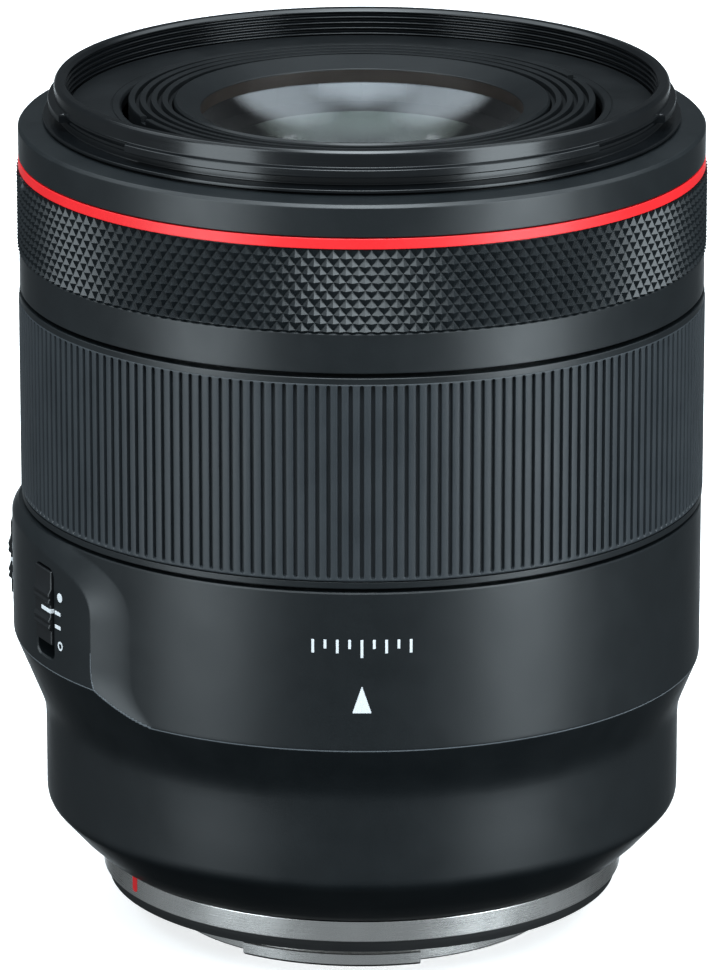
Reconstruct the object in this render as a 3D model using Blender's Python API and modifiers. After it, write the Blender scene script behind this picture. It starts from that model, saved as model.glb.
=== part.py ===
"""Autofocus prime camera lens, built as the separate pieces that it comes apart into.

Metres, +Z up. The lens stands on the rear end of its bayonet, its optical axis is the Z axis, the front
glass faces +Z, and the two slide switches are on the -X side. Sizes below are in millimetres: radii from
the optical axis, and heights above the face that seats on the camera.
"""

import math

import bmesh
import bpy
from mathutils import Matrix, Vector

MM = 0.001
FLANGE_Z = 6.0  # the seating face stands this far above the rear end of the bayonet
GAP = 0.3  # clearance between neighbouring pieces

OUTER_STEPS = 40  # facets round the outer rings
RUNNING_STEPS = 32  # facets round the barrels that run inside each other
INNER_STEPS = 24  # facets round the other pieces inside
GLASS_STEPS = 20
FINE_STEPS = 8

# Front end
RIM_TOP = 107.5
RIM_R = 40.2
THREAD_R = 38.5
HOOD_LUG_R = 41.0
HOOD_GROOVE_R = 39.7
HOOD_LUG_COUNT = 3
HOOD_LUG_GAP_DEG = 25.0
PLATE_TOP = 103.9
PLATE_INNER_R = 31.4
FRONT_BARREL_TOP = 102.1
RED_RING_TOP = 97.35
RED_RING_LOW = 96.12

# Rings
BARREL_R = 44.96
CONTROL_TOP = 95.8
CONTROL_GRIP_LOW = 85.4
CONTROL_LOW = 79.8
CONTROL_GRIP_R = 45.25
FOCUS_TOP = 79.3
FOCUS_LOW = 51.5
FOCUS_LIP = 0.85
FOCUS_GRIP_R = 45.13
RING_BORE_R = 42.3
RING_SEAT_R = 41.9
RING_NECK_R = 40.3
MIDDLE_BORE_R = 39.2
CLICK_COUNT = 24

# Rear barrel
REAR_TOP = 51.0
REAR_EDGE = 29.75
REAR_WAIST_R = 42.17
REAR_WAIST_TOP = 21.0
REAR_WAIST_LOW = 10.7
REAR_FOOT_R = 35.3
REAR_FOOT = 3.1
REAR_WALL_R = 43.0
PANEL_R = 46.4
PANEL_START_DEG = -51.2
PANEL_END_DEG = -108.0
SWITCH_ANGLES = {"af_mf_switch": -63.0, "focus_limiter_switch": -92.5}
SLOT_WIDTH = 5.3
SLOT_LOW = 34.8
SLOT_TOP = 47.1
SWITCH_TRAVEL = 2.0
KNOB_R = 46.85

# Bayonet
MOUNT_R = 34.7
MOUNT_TOP = 2.8
SEAL_GROOVE_OUTER_R = 34.3
SEAL_GROOVE_INNER_R = 32.9
TUBE_R = 26.2
TUBE_BORE_R = 24.5
TAB_R = 28.0
TAB_THICK = 1.9
TAB_SPAN_DEG = 50.0
TAB_CENTRES_DEG = (-9.0, 111.0, 231.0)
SCREW_CIRCLE_R = 30.3
SCREW_ANGLES_DEG = (28.0, 96.0, 208.0, 292.0)
CONTACT_COUNT = 12
CONTACT_PITCH_DEG = 5.6
CONTACT_CENTRE_DEG = 180.0

# Focusing mechanism
GUIDE_R = 37.4
GUIDE_BORE_R = 36.0
CAM_R = 38.9
CAM_BORE_R = 37.7
SLEEVE_R = 35.6
CAM_TURN_DEG = 60.0
FOCUS_TRAVEL = 2.4
FOLLOWER_COUNT = 3
FOLLOWER_R = 1.0
FOLLOWER_H = 70.0
FOLLOWER_CLEARANCE = 0.25

# Diaphragm
BLADE_COUNT = 10
BLADE_PIVOT_R = 25.0
BLADE_INNER_R = 16.8
BLADE_OUTER_R = 24.1
BLADE_SPAN_DEG = 108.0
BLADE_THICK = 0.12
BLADE_PITCH = 0.3
BLADE_FIRST = 51.6
STOP_R = 16.5
POST_R = 0.6
DRIVE_PITCH_R = 28.0
DRIVE_TEETH = 80
PINION_TEETH = 8
TOOTH_OUT = 0.55
TOOTH_IN = 0.85
DRIVE_LOW = 54.9
DRIVE_TOP = 55.9
APERTURE_MOTOR_DEG = 60.0

# Glass groups: (front vertex, rear vertex, edge radius, front radius, rear radius); a radius of
# curvature is positive where the surface bulges outwards and negative where it is hollow.
FRONT_GLASS = (
    (97.9, 94.0, 22.5, -70.0, -70.0),
    (92.0, 84.5, 22.5, 60.0, -80.0),
    (83.5, 76.5, 22.0, 55.0, -100.0),
    (75.3, 71.0, 22.0, 70.0, -45.0),
    (69.8, 61.5, 21.0, 40.0, -200.0),
)
REAR_GLASS = (
    (44.5, 41.0, 20.5, -45.0, -60.0),
    (39.8, 28.0, 20.5, 50.0, 60.0),
    (23.5, 14.0, 20.5, 80.0, 90.0),
    (1.8, -2.7, 19.1, -90.0, 70.0),
)

FINISHES = {
    "satin_black": ((0.020, 0.026, 0.029), 0.42, 0.0),
    "rim_black": ((0.010, 0.012, 0.014), 0.30, 0.0),
    "knurl_black": ((0.016, 0.019, 0.022), 0.40, 0.0),
    "red_accent": ((0.80, 0.020, 0.025), 0.35, 0.0),
    "grip_rubber": ((0.022, 0.026, 0.030), 0.62, 0.0),
    "seal_rubber": ((0.020, 0.022, 0.024), 0.70, 0.0),
    "mount_steel": ((0.62, 0.63, 0.64), 0.26, 1.0),
    "inner_alloy": ((0.30, 0.30, 0.31), 0.40, 1.0),
    "black_alloy": ((0.030, 0.030, 0.032), 0.50, 0.0),
    "baffle_black": ((0.008, 0.009, 0.010), 0.60, 0.0),
    "switch_plastic": ((0.012, 0.013, 0.015), 0.45, 0.0),
    "board_green": ((0.020, 0.120, 0.060), 0.50, 0.0),
    "contact_gold": ((0.83, 0.62, 0.28), 0.25, 1.0),
    "spring_steel": ((0.55, 0.56, 0.58), 0.30, 1.0),
    "blade_steel": ((0.040, 0.040, 0.045), 0.45, 1.0),
    "coated_glass": ((0.45, 0.52, 0.56), 0.02, 0.0),
}


# Scene, collections and materials


def clear_scene():
    for obj in list(bpy.data.objects):
        bpy.data.objects.remove(obj, do_unlink=True)


def make_collection(name):
    collection = bpy.data.collections.new(name)
    bpy.context.scene.collection.children.link(collection)
    return collection


def make_finish(name):
    colour, roughness, metallic = FINISHES[name]
    finish = bpy.data.materials.new(name)
    finish.use_nodes = True
    shader = finish.node_tree.nodes["Principled BSDF"]
    shader.inputs["Base Color"].default_value = (*colour, 1.0)
    shader.inputs["Roughness"].default_value = roughness
    shader.inputs["Metallic"].default_value = metallic
    finish.diffuse_color = (*colour, 1.0)
    return finish


def own_finish(node, finish):
    """Each piece has a material of its own, named for the piece and its finish."""
    copy = finishes[finish].copy()
    copy.name = node + "_" + finish
    return copy


def add_piece(name, data, finish):
    obj = bpy.data.objects.new(name, data)
    lens.objects.link(obj)
    data.materials.clear()
    data.materials.append(own_finish(name, finish))
    return obj


def add_cutter(name, mesh):
    obj = bpy.data.objects.new(name, mesh)
    cutters.objects.link(obj)
    obj.hide_render = True
    obj.display_type = "WIRE"
    return obj


# Shapes


def height(h):
    """Metres above the rear end of the bayonet, from millimetres above the seating face."""
    return (h + FLANGE_Z) * MM


def polar(r, degrees, h=0.0):
    """A point at a radius and an angle from the -Y direction, turning towards +X."""
    angle = math.radians(degrees)
    return Vector((r * MM * math.sin(angle), -r * MM * math.cos(angle), height(h)))


def clockwise(profile):
    """The profile with its outer side running down, so that the turned faces point outwards."""
    area = 0.0
    for (r0, h0), (r1, h1) in zip(profile, profile[1:] + profile[:1]):
        area += r0 * h1 - r1 * h0
    return profile if area < 0 else profile[::-1]


def profile_mesh(name, profile, closed):
    points = [(r * MM, 0.0, height(h)) for r, h in clockwise(list(profile))]
    if not closed:
        start = min(range(len(points)), key=lambda i: (points[i][0], -points[i][2]))
        points = points[start:] + points[:start]
    edges = [(i, i + 1) for i in range(len(points) - 1)]
    if closed:
        edges.append((len(points) - 1, 0))
    mesh = bpy.data.meshes.new(name)
    mesh.from_pydata(points, edges, [])
    return mesh


def add_screw(obj, steps):
    screw = obj.modifiers.new("turn", "SCREW")
    screw.axis = "Z"
    screw.steps = steps
    screw.render_steps = steps
    screw.use_merge_vertices = True
    screw.merge_threshold = 0.000001
    screw.use_smooth_shade = True


def turned_ring(name, profile, finish, steps=INNER_STEPS):
    """A ring turned from a closed profile of (radius, height) points."""
    obj = add_piece(name, profile_mesh(name, profile, True), finish)
    add_screw(obj, steps)
    return obj


def turned_solid(name, profile, finish, steps=GLASS_STEPS):
    """A solid of revolution, from a profile that starts and ends on the axis."""
    obj = add_piece(name, profile_mesh(name, profile, False), finish)
    add_screw(obj, steps)
    return obj


def sweep(mesh_builder, profile, start, end, steps, rise=0.0):
    """Adds a closed sector to a bmesh: a (radius, height) profile swept between two angles from -Y."""
    first = Matrix.Rotation(math.radians(start - 90.0), 4, "Z")
    corners = [mesh_builder.verts.new(first @ Vector((r * MM, 0.0, height(h)))) for r, h in profile]
    face = mesh_builder.faces.new(corners)
    bmesh.ops.spin(
        mesh_builder,
        geom=[face, *face.edges, *face.verts],
        cent=(0.0, 0.0, 0.0),
        axis=(0.0, 0.0, 1.0),
        dvec=(0.0, 0.0, rise * MM / steps),
        angle=math.radians(end - start),
        steps=steps,
    )


def finish_mesh(name, builder):
    bmesh.ops.recalc_face_normals(builder, faces=builder.faces)
    mesh = bpy.data.meshes.new(name)
    builder.to_mesh(mesh)
    builder.free()
    return mesh


def sector_mesh(name, profile, spans, steps, rise=0.0):
    builder = bmesh.new()
    for start, end in spans:
        sweep(builder, profile, start, end, steps, rise)
    return finish_mesh(name, builder)


def rectangle(r0, r1, h0, h1):
    return [(r0, h0), (r1, h0), (r1, h1), (r0, h1)]


def box_mesh(name, boxes):
    """Boxes of (width, depth, height) millimetres, each placed by its own matrix."""
    builder = bmesh.new()
    for size, place in boxes:
        scale = Matrix.Diagonal((*[s * MM for s in size], 1.0))
        bmesh.ops.create_cube(builder, size=1.0, matrix=place @ scale)
    return finish_mesh(name, builder)


def pins_mesh(name, pins, sides):
    """Cylinders of (radius, length) millimetres, each placed by its own matrix along its local Z."""
    builder = bmesh.new()
    for radius, length, place in pins:
        bmesh.ops.create_cone(
            builder,
            cap_ends=True,
            segments=sides,
            radius1=radius * MM,
            radius2=radius * MM,
            depth=length * MM,
            matrix=place,
        )
    return finish_mesh(name, builder)


def facing_out(degrees):
    """A turn whose local Y points outwards from the axis, at an angle from -Y."""
    return Matrix.Rotation(math.radians(degrees + 180.0), 4, "Z")


def upright(r, degrees, low, high):
    """The place of an upright pin or box between two heights."""
    place = Matrix.Translation(polar(r, degrees, (low + high) / 2))
    return place @ facing_out(degrees)


def radial(r0, r1, degrees, h):
    """The place of a pin that lies along a radius."""
    place = Matrix.Translation(polar((r0 + r1) / 2, degrees, h))
    return place @ facing_out(degrees) @ Matrix.Rotation(math.pi / 2, 4, "X")


def combine(obj, operation, other):
    modifier = obj.modifiers.new(other.name, "BOOLEAN")
    modifier.operation = operation
    modifier.solver = "EXACT"
    modifier.object = other
    return obj


def cut(obj, name, mesh):
    return combine(obj, "DIFFERENCE", add_cutter(name, mesh))


def join(obj, name, mesh):
    return combine(obj, "UNION", add_cutter(name, mesh))


def arc(r, start, end, steps):
    """Plane points in millimetres on a circle about the origin, angles anticlockwise from +X."""
    points = []
    for i in range(steps + 1):
        angle = math.radians(start + (end - start) * i / steps)
        points.append((r * math.cos(angle), r * math.sin(angle)))
    return points


def slab(name, outlines, low, high, finish, origin=(0.0, 0.0)):
    """A flat outline, with any holes, made as thick as the gap between two heights."""
    curve = bpy.data.curves.new(name, "CURVE")
    curve.dimensions = "2D"
    curve.fill_mode = "BOTH"
    curve.extrude = (high - low) / 2 * MM
    for outline in outlines:
        spline = curve.splines.new("POLY")
        spline.points.add(len(outline) - 1)
        for point, (x, y) in zip(spline.points, outline):
            point.co = ((x - origin[0]) * MM, (y - origin[1]) * MM, 0.0, 1.0)
        spline.use_cyclic_u = True
    obj = add_piece(name, curve, finish)
    obj.location = (origin[0] * MM, origin[1] * MM, height((low + high) / 2))
    return obj


# Front end


def make_filter_ring():
    profile = [
        (THREAD_R, RIM_TOP - 0.5),
        (THREAD_R + 0.4, RIM_TOP),
        (RIM_R - 0.35, RIM_TOP),
        (RIM_R, RIM_TOP - 0.5),
        (RIM_R, 105.4),
        (HOOD_LUG_R, 105.2),
        (HOOD_LUG_R, 104.2),
        (HOOD_GROOVE_R, 104.0),
        (HOOD_GROOVE_R, 103.0),
        (41.7, 102.8),
        (41.7, FRONT_BARREL_TOP + GAP),
        (40.5, FRONT_BARREL_TOP + GAP),
        (40.5, 98.0),
        (36.6, 98.0),
        (36.6, 102.0),
        (THREAD_R, 102.0),
    ]
    ring = turned_ring("filter_ring", profile, "rim_black", OUTER_STEPS)
    pitch = 360.0 / HOOD_LUG_COUNT
    spans = []
    for i in range(HOOD_LUG_COUNT):
        middle = 60.0 + i * pitch
        spans.append((middle - HOOD_LUG_GAP_DEG / 2, middle + HOOD_LUG_GAP_DEG / 2))
    gaps = sector_mesh("hood_lug_gaps", rectangle(HOOD_GROOVE_R, 42.0, 103.4, 105.37), spans, 4)
    cut(ring, "hood_lug_gaps", gaps)


def make_front_pieces():
    plate = [(PLATE_INNER_R, 103.5), (PLATE_INNER_R + 0.5, PLATE_TOP), (THREAD_R - GAP, PLATE_TOP)]
    plate += [(THREAD_R - GAP, 102.3), (PLATE_INNER_R, 102.3)]
    turned_ring("front_plate", plate, "baffle_black", OUTER_STEPS)
    barrel = [
        (40.9, FRONT_BARREL_TOP),
        (41.9, FRONT_BARREL_TOP),
        (44.5, FRONT_BARREL_TOP - 0.3),
        (BARREL_R, FRONT_BARREL_TOP - 0.8),
        (BARREL_R, RED_RING_TOP + GAP),
        (42.5, RED_RING_TOP + GAP),
        (42.5, RED_RING_LOW - 0.2),
        (40.9, RED_RING_LOW - 0.2),
    ]
    turned_ring("front_barrel", barrel, "satin_black", OUTER_STEPS)
    red = rectangle(42.8, 45.0, RED_RING_LOW, RED_RING_TOP)
    turned_ring("red_ring", red, "red_accent", OUTER_STEPS)


# Rings that turn


def make_control_ring():
    profile = [
        (RING_BORE_R, CONTROL_TOP),
        (CONTROL_GRIP_R - 0.4, CONTROL_TOP),
        (CONTROL_GRIP_R, CONTROL_TOP - 0.4),
        (CONTROL_GRIP_R, CONTROL_GRIP_LOW + 0.3),
        (BARREL_R, CONTROL_GRIP_LOW),
        (BARREL_R, CONTROL_LOW),
        (RING_BORE_R, CONTROL_LOW),
    ]
    turned_ring("control_ring", profile, "knurl_black", OUTER_STEPS)


def make_click_parts():
    """A notched ring turns with the control ring, and a leaf spring's nose rests in one notch."""
    low, high = 87.0, 88.6
    pitch = 360.0 / CLICK_COUNT
    inner = []
    for i in range(CLICK_COUNT):
        middle = i * pitch
        inner += arc(41.45, middle - 0.1 * pitch, middle + 0.1 * pitch, 1)
        inner += arc(40.95, middle + 0.25 * pitch, middle + 0.75 * pitch, 1)
    outer = arc(RING_BORE_R - GAP, 0.0, 360.0, CLICK_COUNT)[:-1]
    slab("control_click_ring", [outer, inner], low, high, "inner_alloy")
    nose = arc(41.2, -0.3, 0.3, 1)
    leaf = arc(40.75, -14.0, -1.0, 4) + nose + arc(40.75, 1.0, 14.0, 4)
    leaf += arc(40.58, 14.0, -14.0, 8)
    slab("click_spring", [leaf], low, high, "spring_steel")


def make_focus_ring():
    core = [
        (RING_BORE_R, FOCUS_TOP),
        (45.05, FOCUS_TOP),
        (45.05, FOCUS_TOP - FOCUS_LIP),
        (43.4, FOCUS_TOP - FOCUS_LIP),
        (43.4, FOCUS_LOW + FOCUS_LIP),
        (45.05, FOCUS_LOW + FOCUS_LIP),
        (45.05, FOCUS_LOW),
        (RING_BORE_R, FOCUS_LOW),
    ]
    turned_ring("focus_ring", core, "satin_black", OUTER_STEPS)
    grip_low = FOCUS_LOW + FOCUS_LIP + GAP
    grip_top = FOCUS_TOP - FOCUS_LIP - GAP
    grip = rectangle(43.7, FOCUS_GRIP_R, grip_low, grip_top)
    turned_ring("focus_grip", grip, "grip_rubber", OUTER_STEPS)
    encoder = rectangle(RING_NECK_R + 0.6, RING_BORE_R - GAP, 60.0, 62.4)
    turned_ring("focus_encoder_ring", encoder, "black_alloy")


def make_middle_barrel():
    top, low = RED_RING_LOW - 0.6, 48.3
    profile = [
        (MIDDLE_BORE_R, top),
        (RING_SEAT_R, top),
        (RING_SEAT_R, 92.0),
        (RING_NECK_R, 92.0),
        (RING_NECK_R, 54.5),
        (RING_SEAT_R, 54.5),
        (RING_SEAT_R, low),
        (MIDDLE_BORE_R, low),
    ]
    turned_ring("middle_barrel", profile, "inner_alloy", OUTER_STEPS)


# Rear barrel and its switches


def make_rear_barrel():
    profile = [
        (RING_SEAT_R + GAP, REAR_TOP),
        (BARREL_R, REAR_TOP),
        (BARREL_R, REAR_EDGE),
        (42.55, 23.95),
        (42.25, 22.5),
        (REAR_WAIST_R, REAR_WAIST_TOP),
        (REAR_WAIST_R, REAR_WAIST_LOW),
        (41.94, 9.87),
        (38.61, 6.08),
        (36.44, 4.06),
        (REAR_FOOT_R, REAR_FOOT),
        (28.5, REAR_FOOT),
        (28.5, 5.0),
        (34.5, 5.0),
        (40.3, 11.0),
        (40.3, 21.5),
        (REAR_WALL_R, 29.0),
        (REAR_WALL_R, 49.0),
        (RING_SEAT_R + GAP, 49.0),
    ]
    barrel = turned_ring("rear_barrel", profile, "satin_black", OUTER_STEPS)
    panel = [(43.8, 50.2), (45.3, 50.5), (PANEL_R - 0.2, 49.6), (PANEL_R, 48.6), (PANEL_R, 33.2)]
    panel += [(44.7, 29.5), (43.8, 30.0)]
    spans = [(PANEL_END_DEG, PANEL_START_DEG)]
    join(barrel, "switch_panel", sector_mesh("switch_panel", panel, spans, 7))
    slots = []
    for degrees in SWITCH_ANGLES.values():
        size = (SLOT_WIDTH, 8.0, SLOT_TOP - SLOT_LOW)
        slots.append((size, upright(45.5, degrees, SLOT_LOW, SLOT_TOP)))
    cut(barrel, "switch_slots", box_mesh("switch_slots", slots))
    holes = [(1.1, 4.0, upright(SCREW_CIRCLE_R, a, 2.0, 6.0)) for a in SCREW_ANGLES_DEG]
    cut(barrel, "rear_screw_holes", pins_mesh("rear_screw_holes", holes, FINE_STEPS))


def make_switches():
    """Each knob is a T in section, so that its foot holds it behind the panel wall."""
    stem = SLOT_WIDTH / 2 - GAP
    foot = 3.2
    low = SLOT_LOW + SWITCH_TRAVEL + GAP
    top = SLOT_TOP - GAP
    inner, ledge = 41.9, 42.65
    edge = 0.4
    outline = [(-foot, inner), (foot, inner), (foot, ledge), (stem, ledge), (stem, KNOB_R - edge)]
    outline += [(stem - edge, KNOB_R), (edge - stem, KNOB_R), (-stem, KNOB_R - edge)]
    outline += [(-stem, ledge), (-foot, ledge)]
    for name, degrees in SWITCH_ANGLES.items():
        knob = slab(name, [outline], low, top, "switch_plastic", (0.0, 44.0))
        knob.location = polar(44.0, degrees, (low + top) / 2)
        knob.rotation_euler = (0.0, 0.0, math.radians(degrees + 180.0))
    board = sector_mesh("switch_board", rectangle(40.9, 41.5, 33.0, 47.6), [(-106.0, -50.0)], 8)
    add_piece("switch_board", board, "board_green")


# Bayonet


def make_bayonet():
    profile = [
        (TUBE_BORE_R, MOUNT_TOP),
        (MOUNT_R, MOUNT_TOP),
        (MOUNT_R, 0.0),
        (SEAL_GROOVE_OUTER_R, 0.0),
        (SEAL_GROOVE_OUTER_R, 1.2),
        (SEAL_GROOVE_INNER_R, 1.2),
        (SEAL_GROOVE_INNER_R, 0.0),
        (28.7, 0.0),
        (28.4, 0.4),
        (TUBE_R, 0.4),
        (TUBE_R, -FLANGE_Z),
        (TUBE_BORE_R, -FLANGE_Z),
    ]
    mount = turned_ring("bayonet_mount", profile, "mount_steel", OUTER_STEPS)
    half = TAB_SPAN_DEG / 2
    tab = rectangle(25.6, TAB_R, -FLANGE_Z, TAB_THICK - FLANGE_Z)
    spans = [(centre - half, centre + half) for centre in TAB_CENTRES_DEG]
    join(mount, "bayonet_tabs", sector_mesh("bayonet_tabs", tab, spans, 5))
    holes = [(1.1, 5.0, upright(SCREW_CIRCLE_R, a, -1.0, 4.0)) for a in SCREW_ANGLES_DEG]
    cut(mount, "mount_screw_holes", pins_mesh("mount_screw_holes", holes, FINE_STEPS))
    sinks = [(1.8, 2.0, upright(SCREW_CIRCLE_R, a, -0.8, 1.2)) for a in SCREW_ANGLES_DEG]
    cut(mount, "mount_screw_sinks", pins_mesh("mount_screw_sinks", sinks, FINE_STEPS))
    inner, outer = SEAL_GROOVE_INNER_R + 0.2, SEAL_GROOVE_OUTER_R - 0.2
    seal = [(inner, 0.9), (outer, 0.9), (outer, -0.6), (outer - 0.2, -1.6), (inner, -1.3)]
    turned_ring("mount_seal", seal, "seal_rubber", OUTER_STEPS)


def make_mount_screws():
    profile = [(0.0, 4.8), (0.8, 4.8), (0.8, 0.9), (1.45, 0.9), (1.45, 0.15), (0.0, 0.15)]
    for i, degrees in enumerate(SCREW_ANGLES_DEG):
        name = "mount_screw_%d" % (i + 1)
        screw = turned_solid(name, profile, "spring_steel", FINE_STEPS)
        screw.location = polar(SCREW_CIRCLE_R, degrees, -FLANGE_Z)


def make_contacts():
    half = CONTACT_COUNT * CONTACT_PITCH_DEG / 2
    middle = CONTACT_CENTRE_DEG
    block_span = [(middle - half - 3.0, middle + half + 3.0)]
    block = add_piece(
        "contact_block",
        sector_mesh("contact_block", rectangle(21.5, 24.2, -5.5, -2.0), block_span, 10),
        "switch_plastic",
    )
    groove_span = [(middle - half - 1.0, middle + half + 1.0)]
    groove = sector_mesh("contact_groove", rectangle(21.95, 23.8, -5.8, -4.2), groove_span, 8)
    cut(block, "contact_groove", groove)
    strip_span = [(middle - half, middle + half)]
    strip_mesh = sector_mesh("contact_strip", rectangle(22.25, 23.5, -5.7, -4.5), strip_span, 6)
    strip = add_piece("contact_strip", strip_mesh, "contact_gold")
    spans = []
    for i in range(1, CONTACT_COUNT):
        between = middle - half + i * CONTACT_PITCH_DEG
        spans.append((between - 0.9, between + 0.9))
    cut(strip, "contact_gaps", sector_mesh("contact_gaps", rectangle(21.8, 24.0, -6.0, -4.8), spans, 1))


def make_rear_baffle():
    plate = [(0.0, -4.9), (24.2, -4.9), (24.2, -5.7), (0.0, -5.7)]
    baffle = turned_solid("rear_baffle", plate, "baffle_black", INNER_STEPS)
    opening = box_mesh("baffle_window", [((34.0, 22.0, 4.0), upright(0.0, 0.0, -7.3, -3.3))])
    cut(baffle, "baffle_window", opening)
    half = CONTACT_COUNT * CONTACT_PITCH_DEG / 2 + 4.2
    span = [(CONTACT_CENTRE_DEG - half, CONTACT_CENTRE_DEG + half)]
    notch = sector_mesh("contact_notch", rectangle(21.15, 26.0, -7.0, -4.0), span, 8)
    cut(baffle, "contact_notch", notch)


# Focusing mechanism


def follower_angles():
    return [30.0 + i * 360.0 / FOLLOWER_COUNT for i in range(FOLLOWER_COUNT)]


def make_guide_barrel():
    profile = [
        (GUIDE_BORE_R, 92.0),
        (GUIDE_R, 92.0),
        (GUIDE_R, 31.0),
        (42.6, 31.0),
        (42.6, 29.6),
        (GUIDE_BORE_R, 29.6),
    ]
    barrel = turned_ring("guide_barrel", profile, "inner_alloy", RUNNING_STEPS)
    clearance = FOLLOWER_R + FOLLOWER_CLEARANCE
    low, high = FOLLOWER_H - clearance, FOLLOWER_H + FOCUS_TRAVEL + clearance
    size = (2 * clearance, 4.0, high - low)
    slots = [(size, upright(36.7, a, low, high)) for a in follower_angles()]
    cut(barrel, "straight_slots", box_mesh("straight_slots", slots))


def make_focus_drive():
    """The motor turns the cam barrel, whose sloping slots lift the front group's followers."""
    tube = rectangle(CAM_BORE_R, CAM_R, 40.5, 92.0)
    cam = turned_ring("cam_barrel", tube, "inner_alloy", RUNNING_STEPS)
    clearance = FOLLOWER_R + FOLLOWER_CLEARANCE
    over = math.degrees(clearance / CAM_BORE_R)
    slope = FOCUS_TRAVEL / CAM_TURN_DEG
    low = FOLLOWER_H - clearance - slope * over
    high = FOLLOWER_H + clearance - slope * over
    section = rectangle(37.0, 39.8, low, high)
    spans = [(a + over, a - CAM_TURN_DEG - over) for a in follower_angles()]
    rise = slope * (CAM_TURN_DEG + 2 * over)
    cut(cam, "cam_slots", sector_mesh("cam_slots", section, spans, 9, rise))
    turned_ring("motor_rotor", rectangle(38.0, 40.0, 37.3, 40.2), "inner_alloy")
    turned_ring("motor_stator", rectangle(38.0, 40.0, 33.4, 37.0), "contact_gold")


def make_motor_spring():
    """A wavy washer that presses the stator against the rotor."""
    builder = bmesh.new()
    waves, amplitude = 6, 0.35
    sweep(builder, rectangle(38.1, 39.9, 32.2, 32.5), 0.0, 360.0, 6 * waves)
    bmesh.ops.remove_doubles(builder, verts=builder.verts, dist=0.000001)
    inside = [face for face in builder.faces if abs(face.normal.z) < 0.5 and len(face.edges) == 4]
    ends = [face for face in inside if all(len(edge.link_faces) > 2 for edge in face.edges)]
    bmesh.ops.delete(builder, geom=ends, context="FACES_ONLY")
    for vert in builder.verts:
        vert.co.z += amplitude * MM * math.sin(waves * math.atan2(vert.co.y, vert.co.x))
    add_piece("motor_spring", finish_mesh("motor_spring", builder), "spring_steel")


def make_front_group():
    profile = [
        (22.9, 101.2),
        (30.4, 101.2),
        (30.4, 99.6),
        (24.6, 99.6),
        (24.6, 80.0),
        (SLEEVE_R, 80.0),
        (SLEEVE_R, 62.0),
        (34.2, 62.0),
        (34.2, 78.0),
        (24.6, 78.0),
        (24.6, 60.0),
        (22.9, 60.0),
    ]
    barrel = turned_ring("front_group_barrel", profile, "black_alloy")
    pins = [(FOLLOWER_R, 3.6, radial(35.0, 38.6, a, FOLLOWER_H)) for a in follower_angles()]
    join(barrel, "cam_followers", pins_mesh("cam_followers", pins, FINE_STEPS))
    steps, start_r, end_r, crest, fall = 3, 30.4, 24.7, 104.7, 1.2
    baffle = [(end_r, 101.5), (start_r, 101.5)]
    width = (start_r - end_r) / steps
    for i in range(steps):
        outer_r = start_r - i * width
        baffle += [(outer_r - 0.15, crest - 0.15 * i), (outer_r - width, crest - 0.15 * i - fall)]
    turned_ring("ridged_baffle", baffle, "baffle_black")
    retainer = [(21.1, 103.3), (24.4, 104.6), (24.4, 101.5), (22.9, 101.5), (22.9, 102.15), (21.1, 102.15)]
    turned_ring("front_retaining_ring", retainer, "satin_black")


def surface(vertex, edge_r, curvature, front, steps=3):
    """(radius, height) points of a lens surface, from its edge to the axis."""
    side = 1.0 if front else -1.0
    points = []
    for i in range(steps + 1):
        r = edge_r * (1.0 - i / steps)
        fall = abs(curvature) - math.sqrt(curvature * curvature - r * r)
        if curvature < 0:
            fall = -fall
        points.append((r, vertex - side * fall))
    return points


def make_glass():
    for i, group in enumerate(FRONT_GLASS + REAR_GLASS):
        front_vertex, rear_vertex, edge_r, front_curve, rear_curve = group
        front = surface(front_vertex, edge_r, front_curve, True)
        rear = surface(rear_vertex, edge_r, rear_curve, False)
        turned_solid("glass_group_%d" % (i + 1), front[::-1] + rear, "coated_glass")


def make_rear_group():
    profile = [
        (20.9, 49.7),
        (22.3, 49.7),
        (22.3, 41.8),
        (SLEEVE_R, 41.8),
        (SLEEVE_R, 40.2),
        (22.3, 40.2),
        (22.3, 6.9),
        (33.0, 6.9),
        (33.0, 5.4),
        (22.3, 5.4),
        (21.0, 1.0),
        (21.0, -3.2),
        (19.4, -3.2),
        (19.4, 0.6),
        (20.9, 4.5),
    ]
    turned_ring("rear_group_barrel", profile, "black_alloy")
    ring = rectangle(17.4, 21.0, -4.5, -3.5)
    turned_ring("rear_retaining_ring", ring, "black_alloy")


def make_main_board():
    outer = arc(39.0, 120.0, 420.0, 20)
    inner = arc(26.0, 420.0, 120.0, 20)
    slab("main_circuit_board", [outer + inner], 13.0, 14.2, "board_green")


# Diaphragm


def pivot_angle(i):
    return 360.0 * i / BLADE_COUNT


def make_aperture_plates():
    base = turned_ring("aperture_base", rectangle(STOP_R, 35.2, 50.1, 51.2), "black_alloy")
    top = BLADE_FIRST + BLADE_PITCH * BLADE_COUNT
    posts = []
    for i in range(BLADE_COUNT):
        place = upright(BLADE_PIVOT_R, pivot_angle(i) + 90.0, 50.6, top)
        posts.append((POST_R, top - 50.6, place))
    join(base, "blade_posts", pins_mesh("blade_posts", posts, 6))
    place = upright(DRIVE_PITCH_R + pinion_r(), APERTURE_MOTOR_DEG + 90.0, 49.0, 53.0)
    cut(base, "shaft_hole", pins_mesh("shaft_hole", [(0.9, 4.0, place)], FINE_STEPS))
    turned_ring("aperture_cover", rectangle(STOP_R, 35.2, 56.4, 57.3), "black_alloy")


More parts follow.
